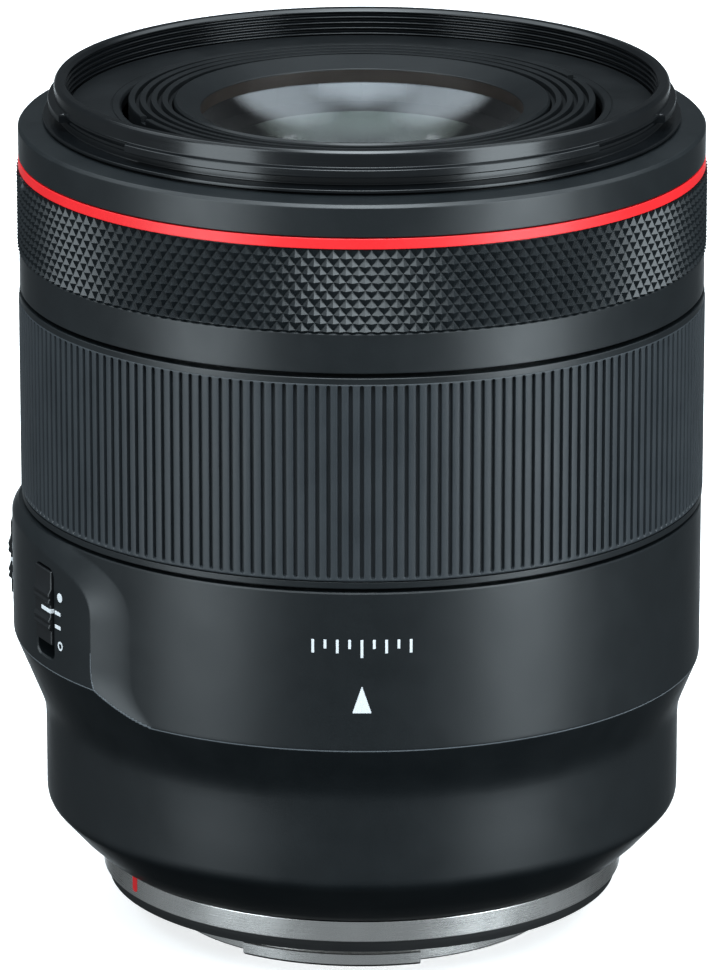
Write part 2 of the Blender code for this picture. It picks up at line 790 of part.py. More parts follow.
def blade_outline():
    """A crescent from its pivot boss at angle 0 to a rounded tip, and the hole for its post."""
    inner = arc(BLADE_INNER_R, -3.0, BLADE_SPAN_DEG, 9)
    middle_r = (BLADE_INNER_R + BLADE_OUTER_R) / 2
    tip = arc(middle_r, BLADE_SPAN_DEG + 6.0, BLADE_SPAN_DEG + 6.0, 1)[:1]
    outer = arc(BLADE_OUTER_R, BLADE_SPAN_DEG, 8.0, 7)
    boss = []
    for i in range(4):
        angle = math.radians(70.0 - 52.0 * i)
        boss.append((BLADE_PIVOT_R + 1.7 * math.cos(angle), 1.7 * math.sin(angle)))
    hole = []
    for i in range(6):
        angle = math.radians(60.0 * i)
        hole.append((BLADE_PIVOT_R + 0.85 * math.cos(angle), 0.85 * math.sin(angle)))
    return [inner + tip + outer + boss, hole]


def make_blades():
    for i in range(BLADE_COUNT):
        name = "aperture_blade_%02d" % (i + 1)
        low = BLADE_FIRST + i * BLADE_PITCH
        pivot = (BLADE_PIVOT_R, 0.0)
        blade = slab(name, blade_outline(), low, low + BLADE_THICK, "blade_steel", pivot)
        angle = math.radians(pivot_angle(i))
        blade.location.x = BLADE_PIVOT_R * MM * math.cos(angle)
        blade.location.y = BLADE_PIVOT_R * MM * math.sin(angle)
        blade.rotation_euler.z = angle


def pinion_r():
    return DRIVE_PITCH_R * PINION_TEETH / DRIVE_TEETH


def tooth(pitch_r, teeth, angle):
    """Four plane points of one gear tooth about an angle in degrees, root to root."""
    pitch = 360.0 / teeth
    points = []
    for r, share in ((-TOOTH_IN, -0.26), (TOOTH_OUT, -0.12), (TOOTH_OUT, 0.12), (-TOOTH_IN, 0.26)):
        turn = math.radians(angle + share * pitch)
        points.append(((pitch_r + r) * math.cos(turn), (pitch_r + r) * math.sin(turn)))
    return points


def make_aperture_drive():
    """A toothed ring that opens and closes the blades, turned by the pinion of a small motor."""
    pitch = 360.0 / DRIVE_TEETH
    toothed = []
    for i in range(-6, 4):
        toothed += tooth(DRIVE_PITCH_R, DRIVE_TEETH, APERTURE_MOTOR_DEG + i * pitch)
    rest_start = APERTURE_MOTOR_DEG + 4 * pitch
    rest_end = APERTURE_MOTOR_DEG + 360.0 - 7 * pitch
    plain = arc(DRIVE_PITCH_R - TOOTH_IN, rest_start, rest_end, 24)
    bore = arc(17.5, 0.0, 360.0, INNER_STEPS)[:-1]
    slab("aperture_drive_ring", [toothed + plain, bore], DRIVE_LOW, DRIVE_TOP, "black_alloy")
    angle = math.radians(APERTURE_MOTOR_DEG)
    reach = DRIVE_PITCH_R + pinion_r()
    centre = (reach * math.cos(angle), reach * math.sin(angle))
    builder = bmesh.new()
    outline = []
    for i in range(PINION_TEETH):
        facing = APERTURE_MOTOR_DEG + 180.0 + (i + 0.5) * 360.0 / PINION_TEETH
        outline += tooth(pinion_r(), PINION_TEETH, facing)
    corners = [builder.verts.new((x * MM, y * MM, 0.0)) for x, y in outline]
    face = builder.faces.new(corners)
    raised = bmesh.ops.extrude_face_region(builder, geom=[face])
    for item in raised["geom"]:
        if isinstance(item, bmesh.types.BMVert):
            item.co.z += (DRIVE_TOP - DRIVE_LOW) * MM
    pinion = add_piece("aperture_pinion", finish_mesh("aperture_pinion", builder), "contact_gold")
    pinion.location = (centre[0] * MM, centre[1] * MM, height(DRIVE_LOW))
    shaft = Matrix.Translation((0.0, 0.0, -1.9 * MM))
    join(pinion, "pinion_shaft", pins_mesh("pinion_shaft", [(0.5, 5.0, shaft)], FINE_STEPS))
    bpy.data.objects["pinion_shaft"].location = pinion.location
    case = pins_mesh("aperture_motor", [(3.2, 6.0, Matrix.Identity(4))], GLASS_STEPS)
    motor = add_piece("aperture_motor", case, "spring_steel")
    motor.location = (centre[0] * MM, centre[1] * MM, height(46.8))


def shade_round_pieces():
    for obj in lens.objects:
        if obj.type == "MESH":
            obj.data.shade_smooth()
            if obj.data.polygons:
                obj.data.set_sharp_from_angle(angle=math.radians(35.0))


clear_scene()
lens = make_collection("prime_camera_lens")
cutters = make_collection("cutters")
finishes = {name: make_finish(name) for name in FINISHES}
make_filter_ring()
make_front_pieces()
make_control_ring()
make_click_parts()
make_focus_ring()
make_middle_barrel()
make_rear_barrel()
make_switches()
make_bayonet()
make_mount_screws()
make_contacts()
make_rear_baffle()
make_guide_barrel()
make_focus_drive()
make_motor_spring()
make_front_group()
make_glass()
make_rear_group()
make_main_board()
make_aperture_plates()
make_blades()
make_aperture_drive()
shade_round_pieces()
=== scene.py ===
"""Looks of the autofocus prime camera lens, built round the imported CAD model.

Metres, +Z up, the optical axis on Z. Sizes in the code are millimetres: radii from the axis, heights above
the face that seats on the camera, and angles in degrees from -Y, turning towards +X.
"""

import math

import bmesh
import bpy
import numpy as np
from mathutils import Matrix, Vector


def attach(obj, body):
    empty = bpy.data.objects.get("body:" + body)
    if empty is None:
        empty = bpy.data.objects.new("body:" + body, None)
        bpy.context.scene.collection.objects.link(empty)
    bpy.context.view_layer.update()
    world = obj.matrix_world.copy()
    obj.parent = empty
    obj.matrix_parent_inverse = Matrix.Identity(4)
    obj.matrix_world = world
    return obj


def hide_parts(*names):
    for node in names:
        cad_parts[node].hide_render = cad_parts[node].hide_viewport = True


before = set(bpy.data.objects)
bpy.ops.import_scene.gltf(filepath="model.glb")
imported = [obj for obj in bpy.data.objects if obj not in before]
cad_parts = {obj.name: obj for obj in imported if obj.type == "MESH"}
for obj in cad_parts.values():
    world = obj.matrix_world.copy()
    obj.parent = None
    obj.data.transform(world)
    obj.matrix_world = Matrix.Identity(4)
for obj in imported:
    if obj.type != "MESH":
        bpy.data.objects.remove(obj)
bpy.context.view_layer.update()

MM = 0.001
FLANGE_Z = 6.0

# Columns round the axis, and the fold that is shaded as a sharp edge
SMOOTH_COLUMNS = 256
SHARP_ANGLE = 32.0

# Camera, fitted to the rim, ring and flange outlines
VIEW_DISTANCE = 990.4
VIEW_ELEVATION = 16.79
VIEW_AIM_H = 51.73
FOCAL_LENGTH = 277.16
SENSOR = 36.0
SHIFT_X = -1.45 / 970.0

# Front rim
RIM_TOP = 107.5
RIM_R = 40.2
LUG_R = 41.0
LUG_NECK_R = 39.7
LUG_GAP_HALF = 12.5
SPANNER_NOTCHES = (112.0, -68.0)

# Knurl and ribs
KNURL_COUNT = 176
KNURL_ROW = 1.06
KNURL_ROWS = 10
KNURL_LOW = 85.35
KNURL_R = 45.27
KNURL_DEPTH = 0.5
RIB_COUNT = 200
RIB_LOW = 52.5
RIB_TOP = 78.47
RIB_R = 45.13
RIB_DEPTH = 0.55
RIB_HALF_GROOVE = 0.25

# Rear barrel
BODY_R = 44.97
WAIST_R = 42.18
PANEL_RISE = 1.43
PANEL_MIDDLE = -79.6
PANEL_HALF = 30.4
PANEL_FLARE = 0.10
PANEL_FLARE_TOP = 36.0
PANEL_SHOULDER = 42.0
PANEL_DOME = 7.2
PANEL_RAMP_SIDE = 0.255
PANEL_RAMP_TOP = 0.32
FINE_RIGHT = (-53.0, -40.0)
FINE_LEFT = (-117.0, -104.0)
TAPER_EDGE = 29.75
TAPER_SLOPE = 0.413
SWITCHES = {"af_mf_switch": -63.0, "focus_limiter_switch": -92.5}
SLOT_LOW = 34.8
SLOT_TOP = 47.1
SLOT_WIDTH = 5.3
SWITCH_TRAVEL = 2.0

# Studio light: (azimuth, elevation, full inside, gone outside, level) of each patch, in degrees
SKY_PATCHES = (
    (0.0, 66.0, 7.0, 19.0, 10.0),
    (0.0, 80.0, 8.0, 27.0, 4.6),
    (180.0, 58.0, 6.0, 26.0, 0.7),
    (112.0, 56.0, 8.0, 27.0, 2.6),
    (-112.0, 56.0, 8.0, 27.0, 2.6),
)
SWEEP_LEVEL = 1.6
FILL_LEVEL = 0.30
LIGHT_TINT = (0.84, 0.94, 1.0, 1.0)

# Printed marks
SCALE_TOP = 44.7
SCALE_STEP = 2.0
SCALE_LINE_HALF = 0.22
INDEX_LOW = 34.9
INDEX_ROW = 0.25
INDEX_HALF = 1.5

# Bayonet
MOUNT_R = 34.68
TAB_TURNS = (-9.0, 111.0, 231.0)
TAB_HALF = 25.0
MARK_MIDDLE = -60.0
MARK_LOW = 0.75
MARK_TOP = 2.75
SCREW_CIRCLE = 30.3
SCREW_TURNS = (28.0, 96.0, 208.0, 292.0)


# ---------------------------------------------------------------------------------------------------
# Mesh helpers


def up(h):
    return (h + FLANGE_Z) * MM


def rounded(profile, fillet=0.15, steps=3):
    """A closed (radius, height[, fillet]) outline, its corners eased and held by a close point each side."""
    count = len(profile)
    out = []
    for i, corner in enumerate(profile):
        here = Vector(corner[:2])
        trim = corner[2] if len(corner) > 2 else fillet
        before = Vector(profile[i - 1][:2]) - here
        after = Vector(profile[(i + 1) % count][:2]) - here
        if trim <= 0.0:
            out.append(tuple(here))
            continue
        start = here + before.normalized() * min(trim, before.length * 0.46)
        end = here + after.normalized() * min(trim, after.length * 0.46)
        hold = min(0.05, before.length * 0.03)
        out.append(tuple(start + before.normalized() * hold))
        for k in range(steps + 1):
            t = k / steps
            out.append(tuple(start * (1 - t) ** 2 + here * 2 * t * (1 - t) + end * t * t))
        hold = min(0.05, after.length * 0.03)
        out.append(tuple(end + after.normalized() * hold))
    return out


def evenly(count):
    return np.arange(count) * 360.0 / count


def grid_faces(columns, rows, wrap_rows):
    """Corner indices of a grid that wraps round its columns, and round its rows if asked."""
    last = rows if wrap_rows else rows - 1
    c, r = np.meshgrid(np.arange(columns), np.arange(last), indexing="ij")
    c2, r2 = (c + 1) % columns, (r + 1) % rows
    return np.stack([c * rows + r, c2 * rows + r, c2 * rows + r2, c * rows + r2], -1).reshape(-1, 4)


def mesh_from(name, points, faces):
    mesh = bpy.data.meshes.new(name)
    sides = faces.shape[1]
    mesh.vertices.add(len(points))
    mesh.vertices.foreach_set("co", np.ascontiguousarray(points, np.float32).ravel())
    mesh.loops.add(faces.size)
    mesh.loops.foreach_set("vertex_index", np.ascontiguousarray(faces, np.int32).ravel())
    mesh.polygons.add(len(faces))
    mesh.polygons.foreach_set("loop_start", np.arange(0, faces.size, sides, dtype=np.int32))
    mesh.update(calc_edges=True)
    mesh.validate()
    return mesh


def around(radii, heights, turns):
    """Points in metres, a column for each turn; radii and heights may differ from column to column."""
    turns = np.radians(np.asarray(turns, float))[:, None]
    radii = np.broadcast_to(radii, (len(turns), np.shape(radii)[-1]))
    heights = np.broadcast_to(heights, radii.shape)
    x = radii * np.sin(turns) * MM
    y = -radii * np.cos(turns) * MM
    return np.stack([x, y, (heights + FLANGE_Z) * MM], -1).reshape(-1, 3)


def outward(points):
    """The closed outline in the direction that makes its turned faces point outwards."""
    area = 0.0
    for (r0, h0), (r1, h1) in zip(points, points[1:] + points[:1]):
        area += r0 * h1 - r1 * h0
    return points if area > 0 else points[::-1]


def add(name, mesh, material, body, replaced=(), angle=SHARP_ANGLE):
    """Puts a mesh in the scene, shades it and ties it to its CAD body, nodes and finish."""
    obj = bpy.data.objects.new(name, mesh)
    bpy.context.scene.collection.objects.link(obj)
    mesh.materials.append(material)
    mesh.shade_smooth()
    mesh.set_sharp_from_angle(angle=math.radians(angle))
    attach(obj, body)
    if replaced:
        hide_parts(*replaced)
    return obj


def lathe(name, profile, material, body, replaced=(), turns=None, shape=None, fillet=0.15):
    """A turned ring with eased corners. shape(turns, radii, heights) may change the radii by column."""
    outline = outward(rounded(profile, fillet))
    radii = np.array([p[0] for p in outline])
    heights = np.array([p[1] for p in outline])
    turns = evenly(SMOOTH_COLUMNS) if turns is None else turns
    if shape:
        radii = shape(np.asarray(turns)[:, None], radii[None, :], heights[None, :])
    faces = grid_faces(len(turns), len(outline), True)
    mesh = mesh_from(name, around(radii, heights, turns), faces)
    return add(name, mesh, material, body, replaced)


def dome(name, profile, material, body, replaced=(), columns=128):
    """A turned solid whose outline starts and ends on the axis."""
    outline = profile if profile[0][1] < profile[-1][1] else profile[::-1]
    inner = outline[1:-1]
    radii = np.array([p[0] for p in inner])
    heights = np.array([p[1] for p in inner])
    rows = len(inner)
    points = around(radii, heights, evenly(columns))
    poles = np.array([(0.0, 0.0, up(outline[0][1])), (0.0, 0.0, up(outline[-1][1]))])
    low = columns * rows
    quads = grid_faces(columns, rows, False)
    here = np.arange(columns) * rows
    there = np.roll(here, -1)
    ends = [np.stack([np.full(columns, low), there, here], -1)]
    ends.append(np.stack([np.full(columns, low + 1), here + rows - 1, there + rows - 1], -1))
    faces = np.concatenate([quads[:, :3], quads[:, [0, 2, 3]]] + ends)
    mesh = mesh_from(name, np.concatenate([points, poles]), faces)
    return add(name, mesh, material, body, replaced)


def sector(builder, section, start, end, step=1.0):
    """Adds a closed (radius, height) section swept between two angles to a bmesh."""
    columns = max(2, int(abs(end - start) / step) + 1)
    rings = []
    for turn in np.radians(np.linspace(start, end, columns)):
        ring = []
        for r, h in section:
            ring.append(builder.verts.new((r * MM * math.sin(turn), -r * MM * math.cos(turn), up(h))))
        rings.append(ring)
    count = len(section)
    for one, two in zip(rings, rings[1:]):
        for k in range(count):
            builder.faces.new((one[k], one[(k + 1) % count], two[(k + 1) % count], two[k]))
    builder.faces.new(rings[0][::-1])
    builder.faces.new(rings[-1])


def turned_cone(low_r, top_r, depth, middle, place, segments, builder=None):
    """A capped cone in a bmesh, its middle at a height above a place; sizes in millimetres."""
    builder = builder or bmesh.new()
    bmesh.ops.create_cone(
        builder, cap_ends=True, segments=segments, radius1=low_r * MM, radius2=top_r * MM, depth=depth * MM,
        matrix=place @ Matrix.Translation((0, 0, middle * MM)),
    )
    return builder


def finished(builder, name):
    bmesh.ops.recalc_face_normals(builder, faces=builder.faces)
    mesh = bpy.data.meshes.new(name)
    builder.to_mesh(mesh)
    builder.free()
    return mesh


def box_section(r0, r1, h0, h1, ease=0.0):
    if not ease:
        return [(r0, h0), (r1, h0), (r1, h1), (r0, h1)]
    return [(r0, h0), (r1 - ease, h0), (r1, h0 + ease), (r1, h1 - ease), (r1 - ease, h1), (r0, h1)]


def second_finish(obj, material, where):
    """Gives the faces that where(radii, heights) picks, in millimetres, a second material."""
    mesh = obj.data
    mesh.materials.append(material)
    centres = np.zeros(len(mesh.polygons) * 3)
    mesh.polygons.foreach_get("center", centres)
    x, y, z = centres.reshape(-1, 3).T / MM
    picked = where(np.hypot(x, y), z - FLANGE_Z)
    mesh.polygons.foreach_set("material_index", picked.astype(np.int32))


def apply_modifiers(obj):
    graph = bpy.context.evaluated_depsgraph_get()
    mesh = bpy.data.meshes.new_from_object(obj.evaluated_get(graph))
    obj.modifiers.clear()
    obj.data = mesh


def cut_away(obj, mesh):
    """Cuts a closed mesh out of obj for good."""
    cutter = bpy.data.objects.new("cutter", mesh)
    bpy.context.scene.collection.objects.link(cutter)
    modifier = obj.modifiers.new("cut", "BOOLEAN")
    modifier.operation = "DIFFERENCE"
    modifier.solver = "EXACT"
    modifier.object = cutter
    bpy.context.view_layer.update()
    apply_modifiers(obj)
    bpy.data.objects.remove(cutter)


def outline_mesh(name, sections):
    """A closed loft: each section is (list of (x, y) mm, radius mm), at a radius out from the axis."""
    builder = bmesh.new()
    rings = []
    for outline, level in sections:
        rings.append([builder.verts.new((x * MM, level * MM, y * MM)) for x, y in outline])
    count = len(rings[0])
    for one, two in zip(rings, rings[1:]):
        for k in range(count):
            builder.faces.new((one[k], one[(k + 1) % count], two[(k + 1) % count], two[k]))
    builder.faces.new(rings[0][::-1])
    builder.faces.new(rings[-1])
    return finished(builder, name)


def rounded_rectangle(x0, x1, y0, y1, radius, steps=5):
    points = []
    corners = ((x1, y1, 0), (x0, y1, 90), (x0, y0, 180), (x1, y0, 270))
    for x, y, start in corners:
        cx = x - radius if x == x1 else x + radius
        cy = y - radius if y == y1 else y + radius
        for k in range(steps + 1):
            turn = math.radians(start + 90.0 * k / steps)
            points.append((cx + radius * math.cos(turn), cy + radius * math.sin(turn)))
    return points


def facing(degrees):
    """Turns a shape whose local Y points outwards to an angle from -Y."""
    return Matrix.Rotation(math.radians(degrees + 180.0), 4, "Z")


# ---------------------------------------------------------------------------------------------------
# Materials


def new_material(name, values):
    material = bpy.data.materials.new(name + "_finish")
    material.use_nodes = True
    shader = material.node_tree.nodes["Principled BSDF"]
    for socket, value in values.items():
        shader.inputs[socket].default_value = value
    return material, material.node_tree, shader


def math_node(tree, operation, a, b=0.0, c=0.0):
    node = tree.nodes.new("ShaderNodeMath")
    node.operation = operation
    for socket, value in zip(node.inputs, (a, b, c)):
        if isinstance(value, (int, float)):
            socket.default_value = value
        else:
            tree.links.new(value, socket)
    return node.outputs[0]


def weighted(tree, a, share_a, b, share_b):
    """share_a of a plus share_b of b."""
    first = math_node(tree, "MULTIPLY", a, share_a)
    return math_node(tree, "ADD", first, math_node(tree, "MULTIPLY", b, share_b))


def object_point(tree):
    return tree.nodes.new("ShaderNodeTexCoord").outputs["Object"]


def turned_point(tree, along=1.0):
    """Radius and height, with a little of the angle, for a texture that runs round like tool marks."""
    split = tree.nodes.new("ShaderNodeSeparateXYZ")
    tree.links.new(object_point(tree), split.inputs[0])
    x, y, z = split.outputs
    squares = math_node(tree, "ADD", math_node(tree, "MULTIPLY", x, x), math_node(tree, "MULTIPLY", y, y))
    radius = math_node(tree, "SQRT", squares)
    turn = math_node(tree, "ARCTAN2", y, x)
    joined = tree.nodes.new("ShaderNodeCombineXYZ")
    tree.links.new(radius, joined.inputs[0])
    tree.links.new(z, joined.inputs[1])
    tree.links.new(math_node(tree, "MULTIPLY", turn, along * MM), joined.inputs[2])
    return joined.outputs[0]


def noise(tree, point, size, detail=2.0, roughness=0.55):
    """Noise of a feature size in millimetres, about 0.5 on average."""
    node = tree.nodes.new("ShaderNodeTexNoise")
    node.inputs["Scale"].default_value = 1.0 / (size * MM)
    node.inputs["Detail"].default_value = detail
    node.inputs["Roughness"].default_value = roughness
    tree.links.new(point, node.inputs["Vector"])
    return node.outputs["Fac"]


def ranged(tree, value, low, high, from_low=0.3, from_high=0.7):
    node = tree.nodes.new("ShaderNodeMapRange")
    node.inputs["From Min"].default_value = from_low
    node.inputs["From Max"].default_value = from_high
    node.inputs["To Min"].default_value = low
    node.inputs["To Max"].default_value = high
    tree.links.new(value, node.inputs["Value"])
    return node.outputs["Result"]


def blend_colour(tree, factor, dark, light, low=0.3, high=0.7):
    ramp = tree.nodes.new("ShaderNodeValToRGB")
    ramp.color_ramp.elements[0].position = low
    ramp.color_ramp.elements[0].color = (*dark, 1.0)
    ramp.color_ramp.elements[1].position = high
    ramp.color_ramp.elements[1].color = (*light, 1.0)
    tree.links.new(factor, ramp.inputs["Fac"])
    return ramp.outputs["Color"]


def paint_edge_highlight(tree, colour, edge, strength):
    """Lightens a colour where the surface is convex: a painted highlight along the edges."""
    pointy = tree.nodes.new("ShaderNodeNewGeometry").outputs["Pointiness"]
    mix = tree.nodes.new("ShaderNodeMix")
    mix.data_type = "RGBA"
    tree.links.new(ranged(tree, pointy, 0.0, strength, 0.515, 0.56), mix.inputs["Factor"])
    tree.links.new(colour, mix.inputs["A"])
    mix.inputs["B"].default_value = (*edge, 1.0)
    return mix.outputs["Result"]


def bumped(tree, shader, height, depth, normal=None):
    """Bump of a real depth in millimetres."""
    node = tree.nodes.new("ShaderNodeBump")
    node.inputs["Strength"].default_value = 1.0
    node.inputs["Distance"].default_value = depth * MM
    tree.links.new(height, node.inputs["Height"])
    if normal:
        tree.links.new(normal, node.inputs["Normal"])
    tree.links.new(node.outputs["Normal"], shader.inputs["Normal"])
    return node.outputs["Normal"]


def grained(name, dark, light, gloss, grain, depth, edge=None, highlight_level=0.0, patch=6.0, **values):
    """A surface with a fine grain in its height and tone, and slow patches in its gloss."""
    material, tree, shader = new_material(name, {k.replace("_", " "): v for k, v in values.items()})
    point = object_point(tree)
    fine = noise(tree, point, grain, 3.0)
    slow = noise(tree, point, patch, 3.0)
    both = weighted(tree, fine, 0.7, slow, 0.3)
    colour = blend_colour(tree, both, dark, light)
    # Optional painted highlight: convex edges are lightened.
    if edge:
        colour = paint_edge_highlight(tree, colour, edge, highlight_level)
    tree.links.new(colour, shader.inputs["Base Color"])
    mixed = weighted(tree, slow, 0.6, fine, 0.4)
    tree.links.new(ranged(tree, mixed, *gloss), shader.inputs["Roughness"])
    bumped(tree, shader, fine, depth)
    return material


def machined(name, dark, light, gloss, line, depth, metallic=1.0, edge=None, highlight_level=0.0, **values):
    """Metal with fine concentric tool marks."""
    material, tree, shader = new_material(name, {k.replace("_", " "): v for k, v in values.items()})
    shader.inputs["Metallic"].default_value = metallic
    marks = noise(tree, turned_point(tree, 0.4), line, 4.0, 0.7)
    smear = noise(tree, object_point(tree), 5.0, 4.0)
    both = weighted(tree, marks, 0.6, smear, 0.4)
    colour = blend_colour(tree, both, dark, light)
    # Optional painted highlight: convex edges are lightened.
    if edge:
        colour = paint_edge_highlight(tree, colour, edge, highlight_level)
    tree.links.new(colour, shader.inputs["Base Color"])
    tree.links.new(ranged(tree, both, *gloss), shader.inputs["Roughness"])
    bumped(tree, shader, marks, depth)
    return material


def board(name):
    """Green solder mask over copper tracks, with a fine weave under it."""
    material, tree, shader = new_material(name, {"Roughness": 0.35})
    point = object_point(tree)
    tracks = tree.nodes.new("ShaderNodeTexVoronoi")
    tracks.distance = "CHEBYCHEV"
    tracks.feature = "F1"
    tracks.inputs["Scale"].default_value = 700.0
    tree.links.new(point, tracks.inputs["Vector"])
    weave = noise(tree, point, 0.4, 4.0)
    joined = weighted(tree, tracks.outputs["Distance"], 0.6, weave, 0.5)
    colour = blend_colour(tree, joined, (0.010, 0.085, 0.040), (0.030, 0.190, 0.080), 0.35, 0.65)
    tree.links.new(colour, shader.inputs["Base Color"])
    tree.links.new(ranged(tree, weave, 0.25, 0.45), shader.inputs["Roughness"])
    bumped(tree, shader, joined, 0.02)
    return material


def glass(name, tint, reflection, ior=1.6):
    """Coated optical glass, with the faintest dust and polish marks in its gloss. Its tint darkens what is
    seen through it, painted shade for the lens's inside.
    """
    values = {
        "Base Color": (*tint, 1.0),
        "Transmission Weight": 1.0,
        "IOR": ior,
        "Specular Tint": (*reflection, 1.0),
    }
    material, tree, shader = new_material(name, values)
    haze = noise(tree, object_point(tree), 1.2, 5.0, 0.7)
    tree.links.new(ranged(tree, haze, 0.0, 0.02), shader.inputs["Roughness"])
    return material


MATERIALS = {
    "satin_black": grained(
        "satin_black", (0.0030, 0.0045, 0.0055), (0.0065, 0.0090, 0.0106), (0.33, 0.44), 0.17, 0.0070,
    ),
    "rim_black": machined(
        "rim_black", (0.0018, 0.0024, 0.0030), (0.0040, 0.0050, 0.0060), (0.17, 0.26), 0.12, 0.0012,
        metallic=0.0,
    ),
    # The knurl's convex edges get a painted highlight.
    "knurl_black": grained(
        "knurl_black", (0.0050, 0.0068, 0.0080), (0.0100, 0.0128, 0.0148), (0.22, 0.34), 0.12, 0.0018,
        edge=(0.060, 0.066, 0.072), highlight_level=0.8,
    ),
    "red_accent": grained(
        "red_accent", (0.74, 0.010, 0.014), (0.90, 0.020, 0.024), (0.34, 0.46), 0.20, 0.0016,
    ),
    "grip_rubber": grained(
        "grip_rubber", (0.0140, 0.0180, 0.0215), (0.0270, 0.0325, 0.0375), (0.46, 0.62), 0.14, 0.0080,
    ),
    "seal_rubber": grained(
        "seal_rubber", (0.0040, 0.0045, 0.0050), (0.0090, 0.0095, 0.0100), (0.60, 0.75), 0.20, 0.0060,
    ),
    "mount_steel": machined(
        "mount_steel", (0.74, 0.72, 0.70), (0.83, 0.81, 0.79), (0.22, 0.33), 0.10, 0.0004,
    ),
    "inner_alloy": machined(
        "inner_alloy", (0.26, 0.26, 0.27), (0.38, 0.38, 0.39), (0.32, 0.48), 0.18, 0.0020,
    ),
    "black_alloy": machined(
        "black_alloy", (0.004, 0.004, 0.0045), (0.009, 0.009, 0.010), (0.42, 0.60), 0.20, 0.0020,
        metallic=0.0,
    ),
    "baffle_black": grained(
        "baffle_black", (0.0028, 0.0036, 0.0042), (0.0062, 0.0074, 0.0084), (0.38, 0.54), 0.16, 0.0030,
        Specular_IOR_Level=0.22,
    ),
    "switch_plastic": grained(
        "switch_plastic", (0.0030, 0.0036, 0.0044), (0.0065, 0.0075, 0.0088), (0.32, 0.46), 0.12, 0.0030,
    ),
    "board_green": board("board_green"),
    "contact_gold": machined(
        "contact_gold", (0.72, 0.50, 0.20), (0.90, 0.68, 0.32), (0.16, 0.30), 0.15, 0.0010,
    ),
    "spring_steel": machined(
        "spring_steel", (0.42, 0.43, 0.45), (0.62, 0.63, 0.65), (0.22, 0.36), 0.12, 0.0010,
    ),
    "blade_steel": machined(
        "blade_steel", (0.020, 0.020, 0.023), (0.045, 0.045, 0.050), (0.34, 0.50), 0.15, 0.0010,
        metallic=0.6,
    ),
    # The grey tint darkens the view through the glass: painted shade for the lens's inside.
    "coated_glass": glass("coated_glass", (0.30, 0.33, 0.34), (0.80, 0.90, 1.0)),
}
white_paint = grained("white_paint", (0.62, 0.64, 0.66), (0.78, 0.80, 0.82), (0.42, 0.55), 0.10, 0.0030)
red_paint = grained("red_paint", (0.60, 0.010, 0.014), (0.76, 0.018, 0.022), (0.36, 0.48), 0.10, 0.0030)
# A lighter grey for thin bands at the barrel's edges: a painted highlight line.
edge_highlight_paint = grained("edge_highlight_paint", (0.10, 0.11, 0.12), (0.15, 0.165, 0.18), (0.30, 0.42), 0.17, 0.0020)
cone_black = grained(
    "cone_black", (0.0030, 0.0040, 0.0048), (0.0060, 0.0075, 0.0085), (0.30, 0.38), 0.17, 0.0040,
    Specular_IOR_Level=0.35,
)
bronze_black = machined(
    "bronze_black", (0.020, 0.015, 0.012), (0.040, 0.032, 0.027), (0.30, 0.44), 0.10, 0.0010, metallic=0.3,
)
# The glass tints below darken the view through them: painted shade for the barrel's inside, darkest in the
# second element, whose teal reflection is its coating.
front_coating = glass("front_coating", (0.80, 0.76, 0.74), (0.85, 0.93, 1.0), 1.62)
inner_coating_and_shade = glass("inner_coating_and_shade", (0.05, 0.055, 0.06), (0.72, 1.0, 0.95), 1.60)
rear_coating = glass("rear_coating", (0.80, 0.82, 0.84), (0.80, 0.90, 1.0), 1.62)

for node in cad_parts.values():
    for material_slot in node.material_slots:
        for name, material in MATERIALS.items():
            if material_slot.material and material_slot.material.name.endswith(name):
                material_slot.material = material
                break


# ---------------------------------------------------------------------------------------------------
# Front end


def lug_gaps(turns, radii, heights):
    """Takes the hood lug away over three short arcs."""
    from_gap = np.abs(turns % 120.0 - 60.0)
    gap = from_gap < LUG_GAP_HALF
    lug = (heights > 104.02) & (heights < 105.36) & (radii > LUG_NECK_R + 0.05)
    floor_r = np.where(heights < 104.6, LUG_NECK_R, RIM_R)
    return np.where(gap & lug, np.minimum(radii, floor_r), radii)


